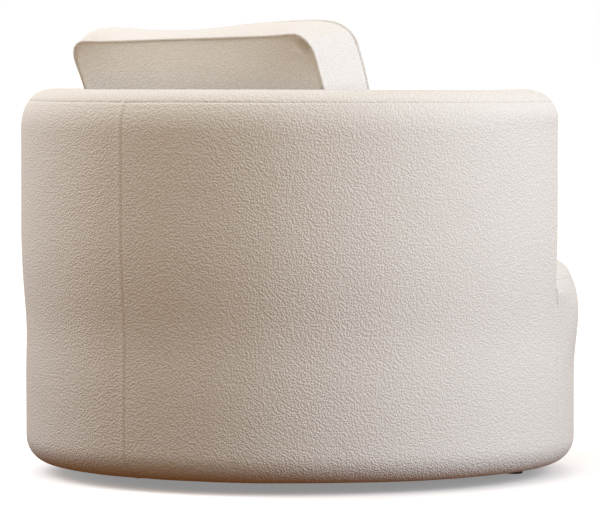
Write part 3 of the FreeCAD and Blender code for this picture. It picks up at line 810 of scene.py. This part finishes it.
@dataclass
class Seat:
    """The seat's top panel and the front band sewn to it along the nose."""

    section: BodySection
    finishes: Finishes
    arm_angle: float = 104.04
    blend_angle: float = 13.0  # how far round from an arm the band takes over from the wall's shape
    corner_round: float = 0.006
    corner_step: float = 0.2   # share of the corner's turn from one point to the next
    back_radius: float = 0.412
    back_round: float = 0.020
    nose_fade: float = 1.3     # how soon the nose dies away along the arm end
    skirt_z: float = 0.352
    skirt_share: float = 0.45  # share of the levels that stand upright at the edge inside the wall
    band_from: float = 0.75    # least nose that the front band still covers
    step: float = 0.010
    middle_step: float = 0.024
    middle_y: float = -0.06
    middle_size: float = 0.96  # size of the flat's last ring
    dome: Rise = Rise(0.007, 0.24)
    dome_y: float = -0.24
    dome_back: Rise = Rise(1.0, 0.05, 0.05)
    dome_full: float = 0.411   # height from where the dome and the ripple are full
    groove: Rise = Rise(0.0008, 0.0026)
    draw_in: Rise = Rise(0.0004, 0.016)
    calm_seam: float = 0.05
    top_ripple: Ripple = Ripple(0.14, 0.0012, 5.0)
    band_ripple: Ripple = Ripple(0.20, 0.0009, 9.0)
    cloth: float = 0.003

    def outline(self) -> list[tuple[Vector, Vector, float]]:
        """Plan of the seat's edge: point, outward normal and how much of a nose it has.

        The run starts at the middle of the front, goes round by +X to the back, and closes.
        """
        radius, turn = self.section.radius, self.corner_round
        end = math.radians(self.arm_angle)
        bend = math.asin(turn / (radius - turn))
        half: list[tuple[Vector, Vector, float]] = []
        for angle in evenly(math.pi, end + bend, self.step / radius):
            out = around(1.0, angle, 0.0)
            half.append((out * radius, out, 1.0))
        pivot = around(radius - turn, end + bend, 0.0)
        side = around(1.0, end - 0.5 * math.pi, 0.0)
        for t in evenly(0.0, 1.0, self.corner_step)[1:]:
            swing = end + bend - t * (0.5 * math.pi + bend)
            out = around(1.0, swing, 0.0)
            half.append((pivot + out * turn, out, 1.0))
        start = half[-1][0]
        stop = around(self.back_radius, end, 0.0)
        along = stop - start
        for t in evenly(0.0, 1.0, self.step / along.length)[1:-1]:
            half.append((start + along * t, side, max(0.0, 1.0 - self.nose_fade * t)))
        for angle in evenly(end, 0.0, self.step / self.back_radius):
            out = around(1.0, angle, 0.0)
            normal = (out + side).normalized() if angle == end else out
            half.append((out * self.back_radius, normal, 0.0))
        flip = Vector((-1.0, 1.0, 1.0))
        other = [(p * flip, n * flip, w) for p, n, w in reversed(half[1:-1])]
        return half + other

    def level(self, nose: Station, plain: Station, point: Vector, out: Vector, weight: float) -> Vector:
        """Place of one outline point at one level of the section.

        Args:
            nose: Station of the open front.
            plain: Station of the edge inside the wall, as inset, height and normal.
            point: Plan point.
            out: Its outward normal.
            weight: 1 at the open front, 0 inside the wall.

        Returns:
            The point in space.
        """
        height = nose[1] * weight + plain[1] * (1.0 - weight)
        inset = point.normalized() * (self.section.radius - nose[0]) * weight
        return point - inset - out * plain[0] * (1.0 - weight) + Vector((0.0, 0.0, height))

    def crowned(self, place: Vector) -> Vector:
        """Lift the seat's middle a little and ripple its cloth."""
        lift = self.dome.of(math.hypot(place.x, place.y - self.dome_y))
        lift *= 1.0 if place.y < self.dome_back.at else self.dome_back.of(place.y)
        lift += self.top_ripple.of(place)
        lift *= smoothstep(place.z, self.section.nose_seam_z, self.dome_full)
        return place + Vector((0.0, 0.0, lift))

    def top_levels(self) -> list[tuple[Station, Station]]:
        """Matching stations of the nose and of the plain edge, from the seam up."""
        nose = self.section.nose_top()
        seat, turn, share = self.section.seat_z, self.back_round, self.skirt_share
        levels = []
        for i, station in enumerate(nose):
            t = i / (len(nose) - 1)
            if t < share:
                plain = (0.0, self.skirt_z + (seat - turn - self.skirt_z) * t / share, 1.0, 0.0)
            else:
                a = 0.5 * math.pi * (t - share) / (1.0 - share)
                plain = (turn * (1.0 - math.cos(a)), seat - turn + turn * math.sin(a), 0.0, 1.0)
            levels.append((station, plain))
        return levels

    def build_top(self) -> bpy.types.Object:
        """Loft the top panel from the nose seam inwards, ring by ring, to one point."""
        ring = self.outline()
        runs = self.runs(self.section.nose_top(), 0)
        places = []
        for (nose, plain), run in zip(self.top_levels(), runs):
            sunk = self.sunk(nose, run)
            places.append([self.level(sunk, plain, *item) for item in ring])
        centre = Vector((0.0, self.middle_y, self.section.seat_z))
        places.append([centre + (p - centre) * self.middle_size for p in places[-1]])
        bm = bmesh.new()
        last = loft(bm, places, closed=True)
        reach = evenly(-self.section.radius, self.section.radius, self.middle_step)
        planes = [(Vector((x, 0.0, 0.0)), Vector((1.0, 0.0, 0.0))) for x in reach]
        planes += [(Vector((0.0, y, 0.0)), Vector((0.0, 1.0, 0.0))) for y in reach]
        cut_into_cells(bm, bm.faces.new(last), planes)
        for vert in bm.verts:
            vert.co = self.crowned(vert.co)
        bmesh.ops.recalc_face_normals(bm, faces=bm.faces)
        if max(bm.faces, key=lambda f: f.calc_area()).normal.z < 0.0:
            bmesh.ops.reverse_faces(bm, faces=bm.faces)
        return self.finish("seat_top_cover", bm)

    @staticmethod
    def runs(stations: list[Station], seam: int) -> list[float]:
        """Distance of every station from the seamed one, along the section."""
        total = [0.0]
        for a, b in zip(stations, stations[1:]):
            total.append(total[-1] + math.hypot(b[0] - a[0], b[1] - a[1]))
        return [abs(t - total[seam]) for t in total]

    def sunk(self, station: Station, run: float) -> Station:
        """A station drawn in by the nose seam."""
        depth = self.groove.of(run) + self.draw_in.of(run)
        r, z, nr, nz = station
        return (r - nr * depth, z - nz * depth, nr, nz)

    def build_band(self) -> bpy.types.Object:
        """Extrude the front band from one arm to the other."""
        stations = self.section.front()
        runs = self.runs(stations, len(stations) - 1)
        ring = [item for item in self.outline() if item[2] >= self.band_from]
        ring = sorted(ring, key=lambda item: -math.atan2(item[0].x, -item[0].y))
        rows = []
        for point, out, _ in ring:
            row = []
            turn = math.degrees(math.atan2(abs(point.x), point.y))
            beside = 1.0 - smoothstep(turn, self.arm_angle, self.arm_angle + self.blend_angle)
            for station, run in zip(stations, runs):
                r, z, _, _ = self.sunk(station, run)
                if z > self.section.waist_top - self.section.pull_height:
                    r -= beside * max(0.0, r - self.section.side_radius(z))
                place = point - point.normalized() * (self.section.radius - r) + Vector((0.0, 0.0, z))
                calm = smoothstep(run, 0.0, self.calm_seam)
                row.append(place + out * calm * self.band_ripple.of(place))
            rows.append(row)
        bm = bmesh.new()
        loft(bm, rows)
        bmesh.ops.recalc_face_normals(bm, faces=bm.faces)
        front = min(bm.faces, key=lambda f: f.calc_center_median().y)
        if front.normal.y > 0.0:
            bmesh.ops.reverse_faces(bm, faces=bm.faces)
        return self.finish("front_band_cover", bm)

    def finish(self, name: str, bm: bmesh.types.BMesh) -> bpy.types.Object:
        """Make the piece, smooth it and give it its cloth thickness."""
        piece = new_piece(name, bm, self.finishes.get(Finish.BOUCLE))
        subdivide(piece)
        thicken(piece, self.cloth)
        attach(piece, "chair")
        log.info("seat: %s", name)
        return piece

    def build(self) -> None:
        """Make the seat's covers and retire the plain solids they stand for."""
        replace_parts(self.build_top(), "seat_cover", "seat_foam")
        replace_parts(self.build_band(), "front_cover", "front_foam")


# ---- Back cushion --------------------------------------------------------------------------------

@dataclass
class BackCushion:
    """Boxed cushion with a welt along both long seams, leaning on the inside of the wall."""

    finishes: Finishes
    width: float = 0.576
    height: float = 0.431
    depth: float = 0.128
    lean: float = 16.0
    foot: tuple[float, float, float] = (0.0, 0.205, 0.4152)
    corner: float = 0.040
    step: float = 0.0085
    zip_height: float = 0.060
    zip_half: float = 0.240
    zip_recess: float = 0.0022
    zip_cuts: tuple[float, ...] = (-0.0075, -0.0055, 0.0055, 0.0075)   # rows of points about the zip
    zip_clear: float = 0.011     # the even rows keep this far from it
    zip_reach: float = 0.006     # half height of the recess
    zip_band: float = 0.012      # reach of the stiff tape above and below the zip
    zip_depth: float = 0.003     # the tape's points lie less deep than this
    on_seam: float = 0.0005      # how near a seam a point of the block counts as on it
    hem: float = 0.0036          # extra row of points beside every seam
    welt_from: float = 0.012     # height where the welts start
    seat_gap: float = 0.0002
    frames: int = 20
    pressure: float = 15.0
    most_move: float = 0.032
    welt_radius: float = 0.0027
    loose_from: float = 0.09     # height where the cloth is free of the seat
    crown: float = 0.007         # extra crown of the boxing
    ear: Rise = Rise(0.003, 0.05, 0.012)     # upper corners, pulled up and out by the welts
    ear_up: Rise = Rise(1.0, 0.06)
    ear_out: float = 0.002
    shoulder: Rise = Rise(0.017, 0.07, 0.02)   # extra crown of the boxing at its upper +X corner
    droop: Rise = Rise(0.014, 0.05)          # how far the upper -X front corner hangs
    top_reach: float = 0.10      # both fade over this much below the top
    tuck_in: Rise = Rise(0.012, 0.022)       # how far the lower corners are drawn in
    tuck_from: float = 0.8       # share of the half width where it starts
    flop_from: float = 0.29      # height along the cushion where its top starts to bend back
    flop_over: float = 0.06
    flop: float = 0.20
    plump: float = 0.046         # extra bulge of the back panel into the wall's hollow
    belly: float = 0.016         # extra bulge of the front panel
    bulge_low: float = 0.03      # the bulges start this far above the zip
    bulge_deep: float = 0.02     # and die away this far inside a face
    stretch: float = 0.012
    slump: float = 0.006         # how far the front of the top sinks below the back
    sag: Rise = Rise(0.012, 0.16, 0.105)     # dip along the top's front edge
    tilt: float = 0.0065
    fold: Rise = Rise(0.019, 0.0075, -0.0100)   # pinch inside the upper -X corner, across its arc
    fold_turn: Rise = Rise(1.0, 26.0, 42.0)     # the same along its arc, in degrees
    lip: Rise = Rise(0.006, 0.009, -0.028)      # swollen edge of the pinch
    lip_turn: Rise = Rise(1.0, 34.0, 42.0)
    pinch_reach: float = 0.3     # share of the depth that the pinch reaches forward
    wave: Ripple = Ripple(0.10, 0.0022, 1.7)
    dimple: Ripple = Ripple(0.045, 0.0009, 4.2)
    gather: float = 0.0011       # height of the gathers beside the seams
    gather_size: float = 0.0045
    gather_reach: float = 0.016
    gather_turn: float = 0.05    # how near the middle the gathers change their slant
    gather_shift: Ripple = Ripple(0.09, 3.0, 0.0)
    relax_steps: int = 10
    relax_reach: float = 2.0     # how far from the upper corners the boxing is evened, in corner radii

    def leaned(self, place: Vector) -> Vector:
        """Take a point of the upright cushion to where it stands."""
        turned = Matrix.Rotation(math.radians(-self.lean), 4, "X") @ place
        return turned + Vector(self.foot)

    def cuts(self, low: float, high: float) -> list[float]:
        """Even cut positions strictly between two values."""
        return evenly(low, high, self.step)[1:-1]

    def block(self) -> bmesh.types.BMesh:
        """Upright block cut into even squares, with round upper corners and a recess for the zip."""
        bm = bmesh.new()
        half, top, depth = 0.5 * self.width, self.height, self.depth
        bmesh.ops.create_cube(bm, size=1.0)
        bmesh.ops.scale(bm, vec=(self.width, depth, top), verts=bm.verts)
        bmesh.ops.translate(bm, vec=(0.0, -0.5 * depth, 0.5 * top), verts=bm.verts)
        zip_rows = [self.zip_height + o for o in self.zip_cuts]
        even_rows = [z for z in self.cuts(0.0, top) if abs(z - self.zip_height) > self.zip_clear]
        rows = even_rows + zip_rows + [top - self.hem]
        columns = self.cuts(-half, half) + [self.hem - half, half - self.hem]
        layers = self.cuts(-depth, 0.0) + [self.hem - depth, -self.hem]
        planes = [((x, 0, 0), (1, 0, 0)) for x in columns]
        planes += [((0, y, 0), (0, 1, 0)) for y in layers]
        planes += [((0, 0, z), (0, 0, 1)) for z in rows]
        for place, normal in planes:
            geometry = bm.verts[:] + bm.edges[:] + bm.faces[:]
            bmesh.ops.bisect_plane(bm, geom=geometry, plane_co=place, plane_no=normal, dist=0.00001)
        for vert in bm.verts:
            vert.co = self.rounded(vert.co)
        return bm

    def rounded(self, place: Vector) -> Vector:
        """Bend the square upper corners to an arc and recess the back behind the zip."""
        half, top, turn = 0.5 * self.width, self.height, self.corner
        u, v = abs(place.x) - (half - turn), place.z - (top - turn)
        result = place.copy()
        if u > 0.0 and v > 0.0:
            pull = max(u, v) / math.hypot(u, v)
            result.x = math.copysign(half - turn + u * pull, place.x)
            result.z = top - turn + v * pull
        beside = abs(place.z - self.zip_height) < self.zip_reach
        if place.y > -self.on_seam and beside and abs(place.x) < self.zip_half:
            result.y -= self.zip_recess
        return result

    def hold(self, place: Vector) -> float:
        """How firmly a point of the upright cushion is held while it fills: 1 at seams and the zip."""
        half, top, turn = 0.5 * self.width, self.height, self.corner
        edge = max(abs(place.x) - half, place.z - top)
        u, v = abs(place.x) - (half - turn), place.z - (top - turn)
        if u > 0.0 and v > 0.0:
            edge = math.hypot(u, v) - turn
        at_face = place.y > -self.on_seam or place.y < self.on_seam - self.depth
        sewn = edge > -self.on_seam and at_face
        taped = place.y > -self.zip_depth and abs(place.z - self.zip_height) < self.zip_band
        return 1.0 if sewn or taped or place.z < self.on_seam else 0.0

    def fill(self, piece: bpy.types.Object) -> None:
        """Swell the cushion with cloth pressure between its held seams and apply the result."""
        rest = [v.co.copy() for v in piece.data.vertices]
        group = piece.vertex_groups.new(name="held")
        for vert in piece.data.vertices:
            group.add([vert.index], self.hold(vert.co), "REPLACE")
        cloth = piece.modifiers.new("fill", "CLOTH")
        settings = cloth.settings
        settings.vertex_group_mass = "held"
        settings.use_pressure = True
        settings.uniform_pressure_force = self.pressure
        settings.tension_stiffness = 12.0
        settings.compression_stiffness = 6.0
        settings.bending_stiffness = 0.6
        settings.mass = 0.25
        settings.quality = 6
        settings.effector_weights.gravity = 0.0
        cloth.collision_settings.use_collision = False
        cloth.point_cache.frame_start = 1
        cloth.point_cache.frame_end = self.frames
        scene = bpy.context.scene
        for number in range(1, self.frames + 1):
            scene.frame_set(number)
        graph = bpy.context.evaluated_depsgraph_get()
        swollen = piece.evaluated_get(graph).to_mesh()
        moved = [v.co.copy() for v in swollen.vertices]
        piece.evaluated_get(graph).to_mesh_clear()
        piece.modifiers.remove(cloth)
        log.info("cushion: filled, largest move %.1f mm",
                 1000.0 * max((b - a).length for a, b in zip(rest, moved)))
        for vert, before, after in zip(piece.data.vertices, rest, moved):
            step = after - before
            if step.length > self.most_move:
                step *= self.most_move / step.length
            vert.co = before + step
        scene.frame_set(1)

    def bent(self, place: Vector) -> Vector:
        """Bend the upright cushion's top back over the rim and let its front edge slump."""
        half, over = 0.5 * self.width, self.flop_over
        up, front = max(0.0, place.z / self.height), min(1.0, max(0.0, -place.y / self.depth))
        past = max(0.0, place.z - self.flop_from)
        place.y += self.flop * (0.5 * past * past / over if past < over else past - 0.5 * over)
        place.z += self.stretch * up * up - self.slump * front * front * up ** 5
        place.z -= front * self.sag.of(place.x) * up ** 4
        place.z -= self.tilt * place.x / half * up ** 2
        place.z -= math.tan(math.radians(self.lean)) * self.depth * front * (1.0 - min(1.0, up)) ** 4
        tucked = smoothstep(abs(place.x), self.tuck_from * half, half) * self.tuck_in.of(place.z)
        place.x -= math.copysign(tucked, place.x)
        return place

    def bulge(self, place: Vector) -> float:
        """Extra swell of the two big panels above the zip, backwards where positive."""
        low = self.zip_height + self.bulge_low
        if not low < place.z < self.height:
            return 0.0
        across = max(0.0, 1.0 - (2.0 * place.x / self.width) ** 2)
        swell = across * math.sin(math.pi * (place.z - low) / (self.height - low))
        back = smoothstep(place.y, -self.bulge_deep, 0.0)
        front = smoothstep(place.y, self.bulge_deep - self.depth, -self.depth)
        return swell * (self.plump * back - self.belly * front)

    def pinch(self, place: Vector) -> float:
        """Depth of the fold in the back panel along its upper -X corner."""
        across = self.corner - 0.5 * self.width - place.x
        up = place.z - self.height + self.corner
        ring = math.hypot(across, up) - self.corner
        turn = math.degrees(math.atan2(up, across))
        return self.fold.of(ring) * self.fold_turn.of(turn) - self.lip.of(ring) * self.lip_turn.of(turn)

    def pucker(self, place: Vector) -> float:
        """Height of the small gathers that run in from the seams."""
        half, top = 0.5 * self.width, self.height
        from_face = min(-place.y, place.y + self.depth)
        from_edge = min(half - abs(place.x), top - place.z)
        from_seam = max(0.0, from_face, from_edge)
        along = place.x - math.tanh(place.x / self.gather_turn) * place.z
        wave = math.sin(along / self.gather_size + self.gather_shift.of(place))
        return self.gather * wave * math.exp(-from_seam / self.gather_reach)

    def dressed(self, at: Vector, normal: Vector) -> Vector:
        """Place of one filled point with the small folds that filling and use leave.

        Args:
            at: Place on the upright, filled cushion.
            normal: Its outward direction.

        Returns:
            The new place, still upright.
        """
        half, top = 0.5 * self.width, self.height
        place = at.copy()
        for side in (-1.0, 1.0):
            ear = bell(place.x - side * (half - self.ear.at), self.ear.width)
            ear *= self.ear_up.of(place.z - top)
            place.z += self.ear.height * ear
            place.x += side * self.ear_out * ear
        place.y += self.bulge(at)
        if at.z <= self.loose_from:
            return place
        deep = min(1.0, max(0.0, -at.y / self.depth))
        arch = 4.0 * deep * (1.0 - deep)
        near_top = smoothstep(at.z, top - self.top_reach, top)
        place += normal * self.crown * arch
        place.z += arch * self.shoulder.of(half - at.x) * near_top
        place.z -= deep * self.droop.of(at.x + half) * near_top
        if self.hold(at) < 0.5:
            place += normal * (self.wave.of(at) + self.dimple.of(at) + self.pucker(at))
            if at.y > -self.pinch_reach * self.depth:
                place.y -= self.pinch(at)
        return place

    def dress(self, piece: bpy.types.Object) -> None:
        """Set the folds, then lean the cushion back and stand it on the seat."""
        for vert in piece.data.vertices:
            vert.co = self.leaned(self.bent(self.dressed(vert.co, vert.normal)))
            vert.co.z = max(vert.co.z, self.foot[2] + self.seat_gap)

    def boxing_corners(self, piece: bpy.types.Object) -> list[int]:
        """Indices of the loose points of the upright cushion's boxing round its two upper corners."""
        reach = self.relax_reach * self.corner
        found = []
        for vert in piece.data.vertices:
            near = abs(vert.co.x) > 0.5 * self.width - reach and vert.co.z > self.height - reach
            if near and self.on_rim(vert.co) and self.hold(vert.co) < 0.5:
                found.append(vert.index)
        return found

    def relax(self, piece: bpy.types.Object, indices: list[int]) -> None:
        """Even out creases among the given points."""
        bm = bmesh.new()
        bm.from_mesh(piece.data)
        bm.verts.ensure_lookup_table()
        chosen = [bm.verts[i] for i in indices]
        for _ in range(self.relax_steps):
            bmesh.ops.smooth_vert(
                bm, verts=chosen, factor=0.5, use_axis_x=True, use_axis_y=True, use_axis_z=True)
        bm.to_mesh(piece.data)
        bm.free()

    def seam_loop(self, piece: bpy.types.Object, marks: list[int]) -> list[Vector]:
        """The points of a seam in order, from one foot over the top to the other."""
        points = [(index, piece.data.vertices[index].co.copy()) for index in marks]
        middle = self.leaned(Vector((0.0, 0.0, 0.5 * self.height)))
        return [p for _, p in sorted(points, key=lambda item: self.clock(item[1] - middle))]

    @staticmethod
    def clock(offset: Vector) -> float:
        """Angle of a seam point about the cushion's middle, starting straight down."""
        return math.atan2(offset.x, offset.z)

    def welt(self, name: str, line: list[Vector]) -> bpy.types.Object:
        """Round welt of the cushion's own cloth over a sewn cord, along a seam."""
        curve = bpy.data.curves.new(name, "CURVE")
        curve.dimensions = "3D"
        curve.bevel_depth = self.welt_radius
        curve.bevel_resolution = 3
        curve.use_fill_caps = True
        spline = curve.splines.new("NURBS")
        spline.points.add(len(line) - 1)
        for point, place in zip(spline.points, line):
            point.co = (*place, 1.0)
        spline.order_u = 3
        spline.use_endpoint_u = True
        spline.resolution_u = 2
        curve.materials.append(self.finishes.get(Finish.SOFT_BOUCLE))
        piece = bpy.data.objects.new(name, curve)
        bpy.context.scene.collection.objects.link(piece)
        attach(piece, "back_cushion")
        log.info("cushion: %s", name)
        return piece

    def marks(self, piece: bpy.types.Object, at_back: bool) -> list[int]:
        """Indices of the points on one long seam of the upright cushion."""
        found = []
        for vert in piece.data.vertices:
            back = vert.co.y > -self.on_seam
            front = vert.co.y < self.on_seam - self.depth
            if (back if at_back else front) and self.hold(vert.co) == 1.0 and self.on_rim(vert.co):
                found.append(vert.index)
        return found

    def on_rim(self, place: Vector) -> bool:
        """True on the cushion's side and top edges, clear of the seat."""
        half, top, turn = 0.5 * self.width, self.height, self.corner
        u, v = abs(place.x) - (half - turn), place.z - (top - turn)
        if place.z < self.welt_from:
            return False
        if u > 0.0 and v > 0.0:
            return math.hypot(u, v) > turn - self.on_seam
        return abs(place.x) > half - self.on_seam or place.z > top - self.on_seam

    def build(self) -> None:
        """Make the cushion and its welts."""
        piece = new_piece("back_cushion_cover", self.block(), self.finishes.get(Finish.SOFT_BOUCLE))
        rear_seam, fore_seam = self.marks(piece, True), self.marks(piece, False)
        corners = self.boxing_corners(piece)
        self.fill(piece)
        self.dress(piece)
        self.relax(piece, corners)
        rear_line, fore_line = self.seam_loop(piece, rear_seam), self.seam_loop(piece, fore_seam)
        subdivide(piece)
        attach(piece, "back_cushion")
        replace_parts(piece, "cushion_filling", "cushion_front_panel", "cushion_back_panel",
                    "cushion_boxing", "cushion_bottom")
        log.info("cushion: %s", piece.name)
        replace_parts(self.welt("cushion_welt_rear", rear_line), "cushion_welt_back")
        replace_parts(self.welt("cushion_welt_fore", fore_line), "cushion_welt_front")


# ---- Carried-over pieces -------------------------------------------------------------------------

@dataclass
class CarriedPieces:
    """Gives every frame piece that still shows its finish, by its material slot in the record."""

    finishes: Finishes

    def build(self) -> None:
        """Dress the carried-over pieces."""
        for entry in frame["record"]["subparts"]:
            piece = frame["nodes"][entry["node"]]
            material = self.finishes.get(Finish(entry["material_slot"]))
            piece.data.materials.clear()
            piece.data.materials.append(material)
            log.info("frame: %s in %s", entry["node"], material.name)


# ---- Studio --------------------------------------------------------------------------------------

@dataclass(frozen=True)
class Lamp:
    """A square soft light that faces the chair."""

    name: str
    turn: float        # degrees from the camera's side, on towards -X
    height: float
    distance: float    # level, from the chair's middle
    size: float
    power: float       # watts
    colour: str
    aim: float         # height on the chair that it points at


@dataclass
class Studio:
    """Pale floor, soft light and the camera."""

    azimuth: float = 37.5        # from the middle of the back towards -X
    distance: float = 8.2
    eye: float = 0.784
    pitch: float = 0.047
    lens_mm: float = 253.62
    sensor_mm: float = 36.0
    far: float = 2000.0
    lamps: tuple[Lamp, ...] = (
        Lamp("key", 58.0, 1.5, 3.4, 2.6, 98.0, "DCEBFF", 0.4),
        Lamp("fill", -104.0, 2.4, 2.7, 2.0, 65.0, "EAF1FF", 0.6),
        Lamp("top", 10.0, 3.6, 0.2, 3.0, 13.0, "FFFFFF", 0.4),
    )
    # painted shadow: round shadow_at the floor's glow drops to shadow_glow, and it is darkest inside the
    # first radius of shadow_reach
    shadow_at: tuple[float, float, float] = (-0.24, -0.18, 0.0)
    shadow_reach: tuple[float, float] = (0.62, 1.14)   # radius where the floor is darkest, is palest
    shadow_glow: float = 0.26
    floor_size: float = 900.0
    floor_glow: float = 0.64
    # painted bounce: the floor's emitted light towards the chair, dark and warm near it as painted shade
    bounce_at: tuple[float, float, float] = (0.20, 0.32, 0.0)
    bounce_reach: tuple[float, float] = (0.6, 3.0)     # radius of the near colour, of the far one
    bounce_near: str = "643A12"
    bounce_far: str = "A58351"
    sky_low: str = "4A2A10"
    sky_high: str = "DED1BF"
    sky_rise: tuple[float, float] = (-0.6, 0.7)        # height of the low colour, of the high one

    def toward(self, turn: float) -> Vector:
        """Level direction from the chair, turned on from the camera's own side towards -X."""
        angle = math.radians(-self.azimuth - turn)
        return around(1.0, angle, 0.0)

    def camera(self) -> None:
        """Place the camera behind the chair and to its right side."""
        data = bpy.data.cameras.new("view")
        data.sensor_width = self.sensor_mm
        data.lens = self.lens_mm
        data.clip_end = self.far
        item = bpy.data.objects.new("view", data)
        back = self.toward(0.0)
        item.location = back * self.distance + Vector((0.0, 0.0, self.eye))
        look = -back * math.cos(self.pitch) - Vector((0.0, 0.0, math.sin(self.pitch)))
        item.rotation_euler = look.to_track_quat("-Z", "Y").to_euler()
        bpy.context.scene.collection.objects.link(item)
        bpy.context.scene.camera = item

    def light(self, lamp: Lamp) -> None:
        """Hang one lamp."""
        data = bpy.data.lights.new(lamp.name, "AREA")
        data.shape = "RECTANGLE"
        data.size = data.size_y = lamp.size
        data.energy = lamp.power
        data.color = linear(lamp.colour)[:3]
        item = bpy.data.objects.new(lamp.name, data)
        item.location = self.toward(lamp.turn) * lamp.distance + Vector((0.0, 0.0, lamp.height))
        look = Vector((0.0, 0.0, lamp.aim)) - item.location
        item.rotation_euler = look.to_track_quat("-Z", "Y").to_euler()
        bpy.context.scene.collection.objects.link(item)

    def floor(self) -> None:
        """Large pale floor that glows, its glow turned down round the chair as a painted shadow, so that
        it fades to white away from the chair.

        The light it sends up in place of a bounce is warm, and painted darker beside the chair as
        painted shade.
        """
        bm = bmesh.new()
        bmesh.ops.create_grid(bm, x_segments=2, y_segments=2, size=self.floor_size)
        material = bpy.data.materials.new("pale_floor")
        material.use_nodes = True
        tree = material.node_tree
        tree.nodes.clear()
        place = add_node(tree, "ShaderNodeTexCoord").outputs["Object"]
        away = add_node(
            tree, "ShaderNodeVectorMath", {0: place, 1: self.shadow_at}, operation="DISTANCE")
        # painted shadow: the floor's glow is turned down near the chair
        glow = add_node(tree, "ShaderNodeMapRange", {
            "Value": away.outputs["Value"], "From Min": self.shadow_reach[0],
            "From Max": self.shadow_reach[1], "To Min": self.shadow_glow, "To Max": self.floor_glow,
        }, interpolation_type="SMOOTHSTEP")
        shader = add_node(tree, "ShaderNodeBsdfPrincipled", {
            "Base Color": linear("F4F4F4"), "Roughness": 0.9, "Specular IOR Level": 0.1,
            "Emission Color": linear("FFFFFF"), "Emission Strength": glow.outputs["Result"],
        })
        beside = add_node(
            tree, "ShaderNodeVectorMath", {0: place, 1: self.bounce_at}, operation="DISTANCE")
        reach = add_node(tree, "ShaderNodeMapRange", {
            "Value": beside.outputs["Value"], "From Min": self.bounce_reach[0],
            "From Max": self.bounce_reach[1],
        })
        # painted shade in the bounce: darker and warmer near the chair
        bounce = add_node(tree, "ShaderNodeMix", {
            0: reach.outputs["Result"], "A": linear(self.bounce_near), "B": linear(self.bounce_far),
        }, data_type="RGBA")
        upward = add_node(tree, "ShaderNodeEmission", {"Color": bounce.outputs[2], "Strength": 1.0})
        direct = add_node(tree, "ShaderNodeLightPath").outputs["Is Camera Ray"]
        seen = add_node(tree, "ShaderNodeMixShader", {
            0: direct, 1: upward.outputs["Emission"], 2: shader.outputs["BSDF"],
        })
        add_node(tree, "ShaderNodeOutputMaterial", {"Surface": seen.outputs["Shader"]})
        material.cycles.emission_sampling = "NONE"
        piece = new_piece("floor", bm, material)

    def sky(self) -> None:
        """White studio as seen directly, and a soft warm surround as a light."""
        world = bpy.data.worlds.new("studio")
        bpy.context.scene.world = world
        world.use_nodes = True
        tree = world.node_tree
        tree.nodes.clear()
        place = add_node(tree, "ShaderNodeTexCoord").outputs["Generated"]
        height = add_node(tree, "ShaderNodeSeparateXYZ", {"Vector": place}).outputs["Z"]
        rise = add_node(tree, "ShaderNodeMapRange", {
            "Value": height, "From Min": self.sky_rise[0], "From Max": self.sky_rise[1],
        })
        tint = add_node(tree, "ShaderNodeMix", {
            0: rise.outputs["Result"], "A": linear(self.sky_low), "B": linear(self.sky_high),
        }, data_type="RGBA")
        direct = add_node(tree, "ShaderNodeLightPath").outputs["Is Camera Ray"]
        colour = add_node(tree, "ShaderNodeMix", {
            0: direct, "A": tint.outputs[2], "B": (1.0, 1.0, 1.0, 1.0),
        }, data_type="RGBA")
        light = add_node(tree, "ShaderNodeBackground", {"Color": colour.outputs[2], "Strength": 1.0})
        add_node(tree, "ShaderNodeOutputWorld", {"Surface": light.outputs["Background"]})

    def build(self) -> None:
        """Set up the studio."""
        scene = bpy.context.scene
        scene.view_settings.view_transform = "Standard"
        scene.view_settings.look = "None"
        self.camera()
        self.floor()
        self.sky()
        for lamp in self.lamps:
            self.light(lamp)


def main() -> None:
    """Build the pieces in order."""
    logging.basicConfig(level=logging.INFO, format="%(name)s: %(message)s")
    finishes = Finishes()
    section = BodySection()
    CarriedPieces(finishes).build()
    Wall(section, finishes).build()
    Seat(section, finishes).build()
    BackCushion(finishes).build()
    Studio().build()
    bpy.context.view_layer.update()


if __name__ == "__main__":
    main()
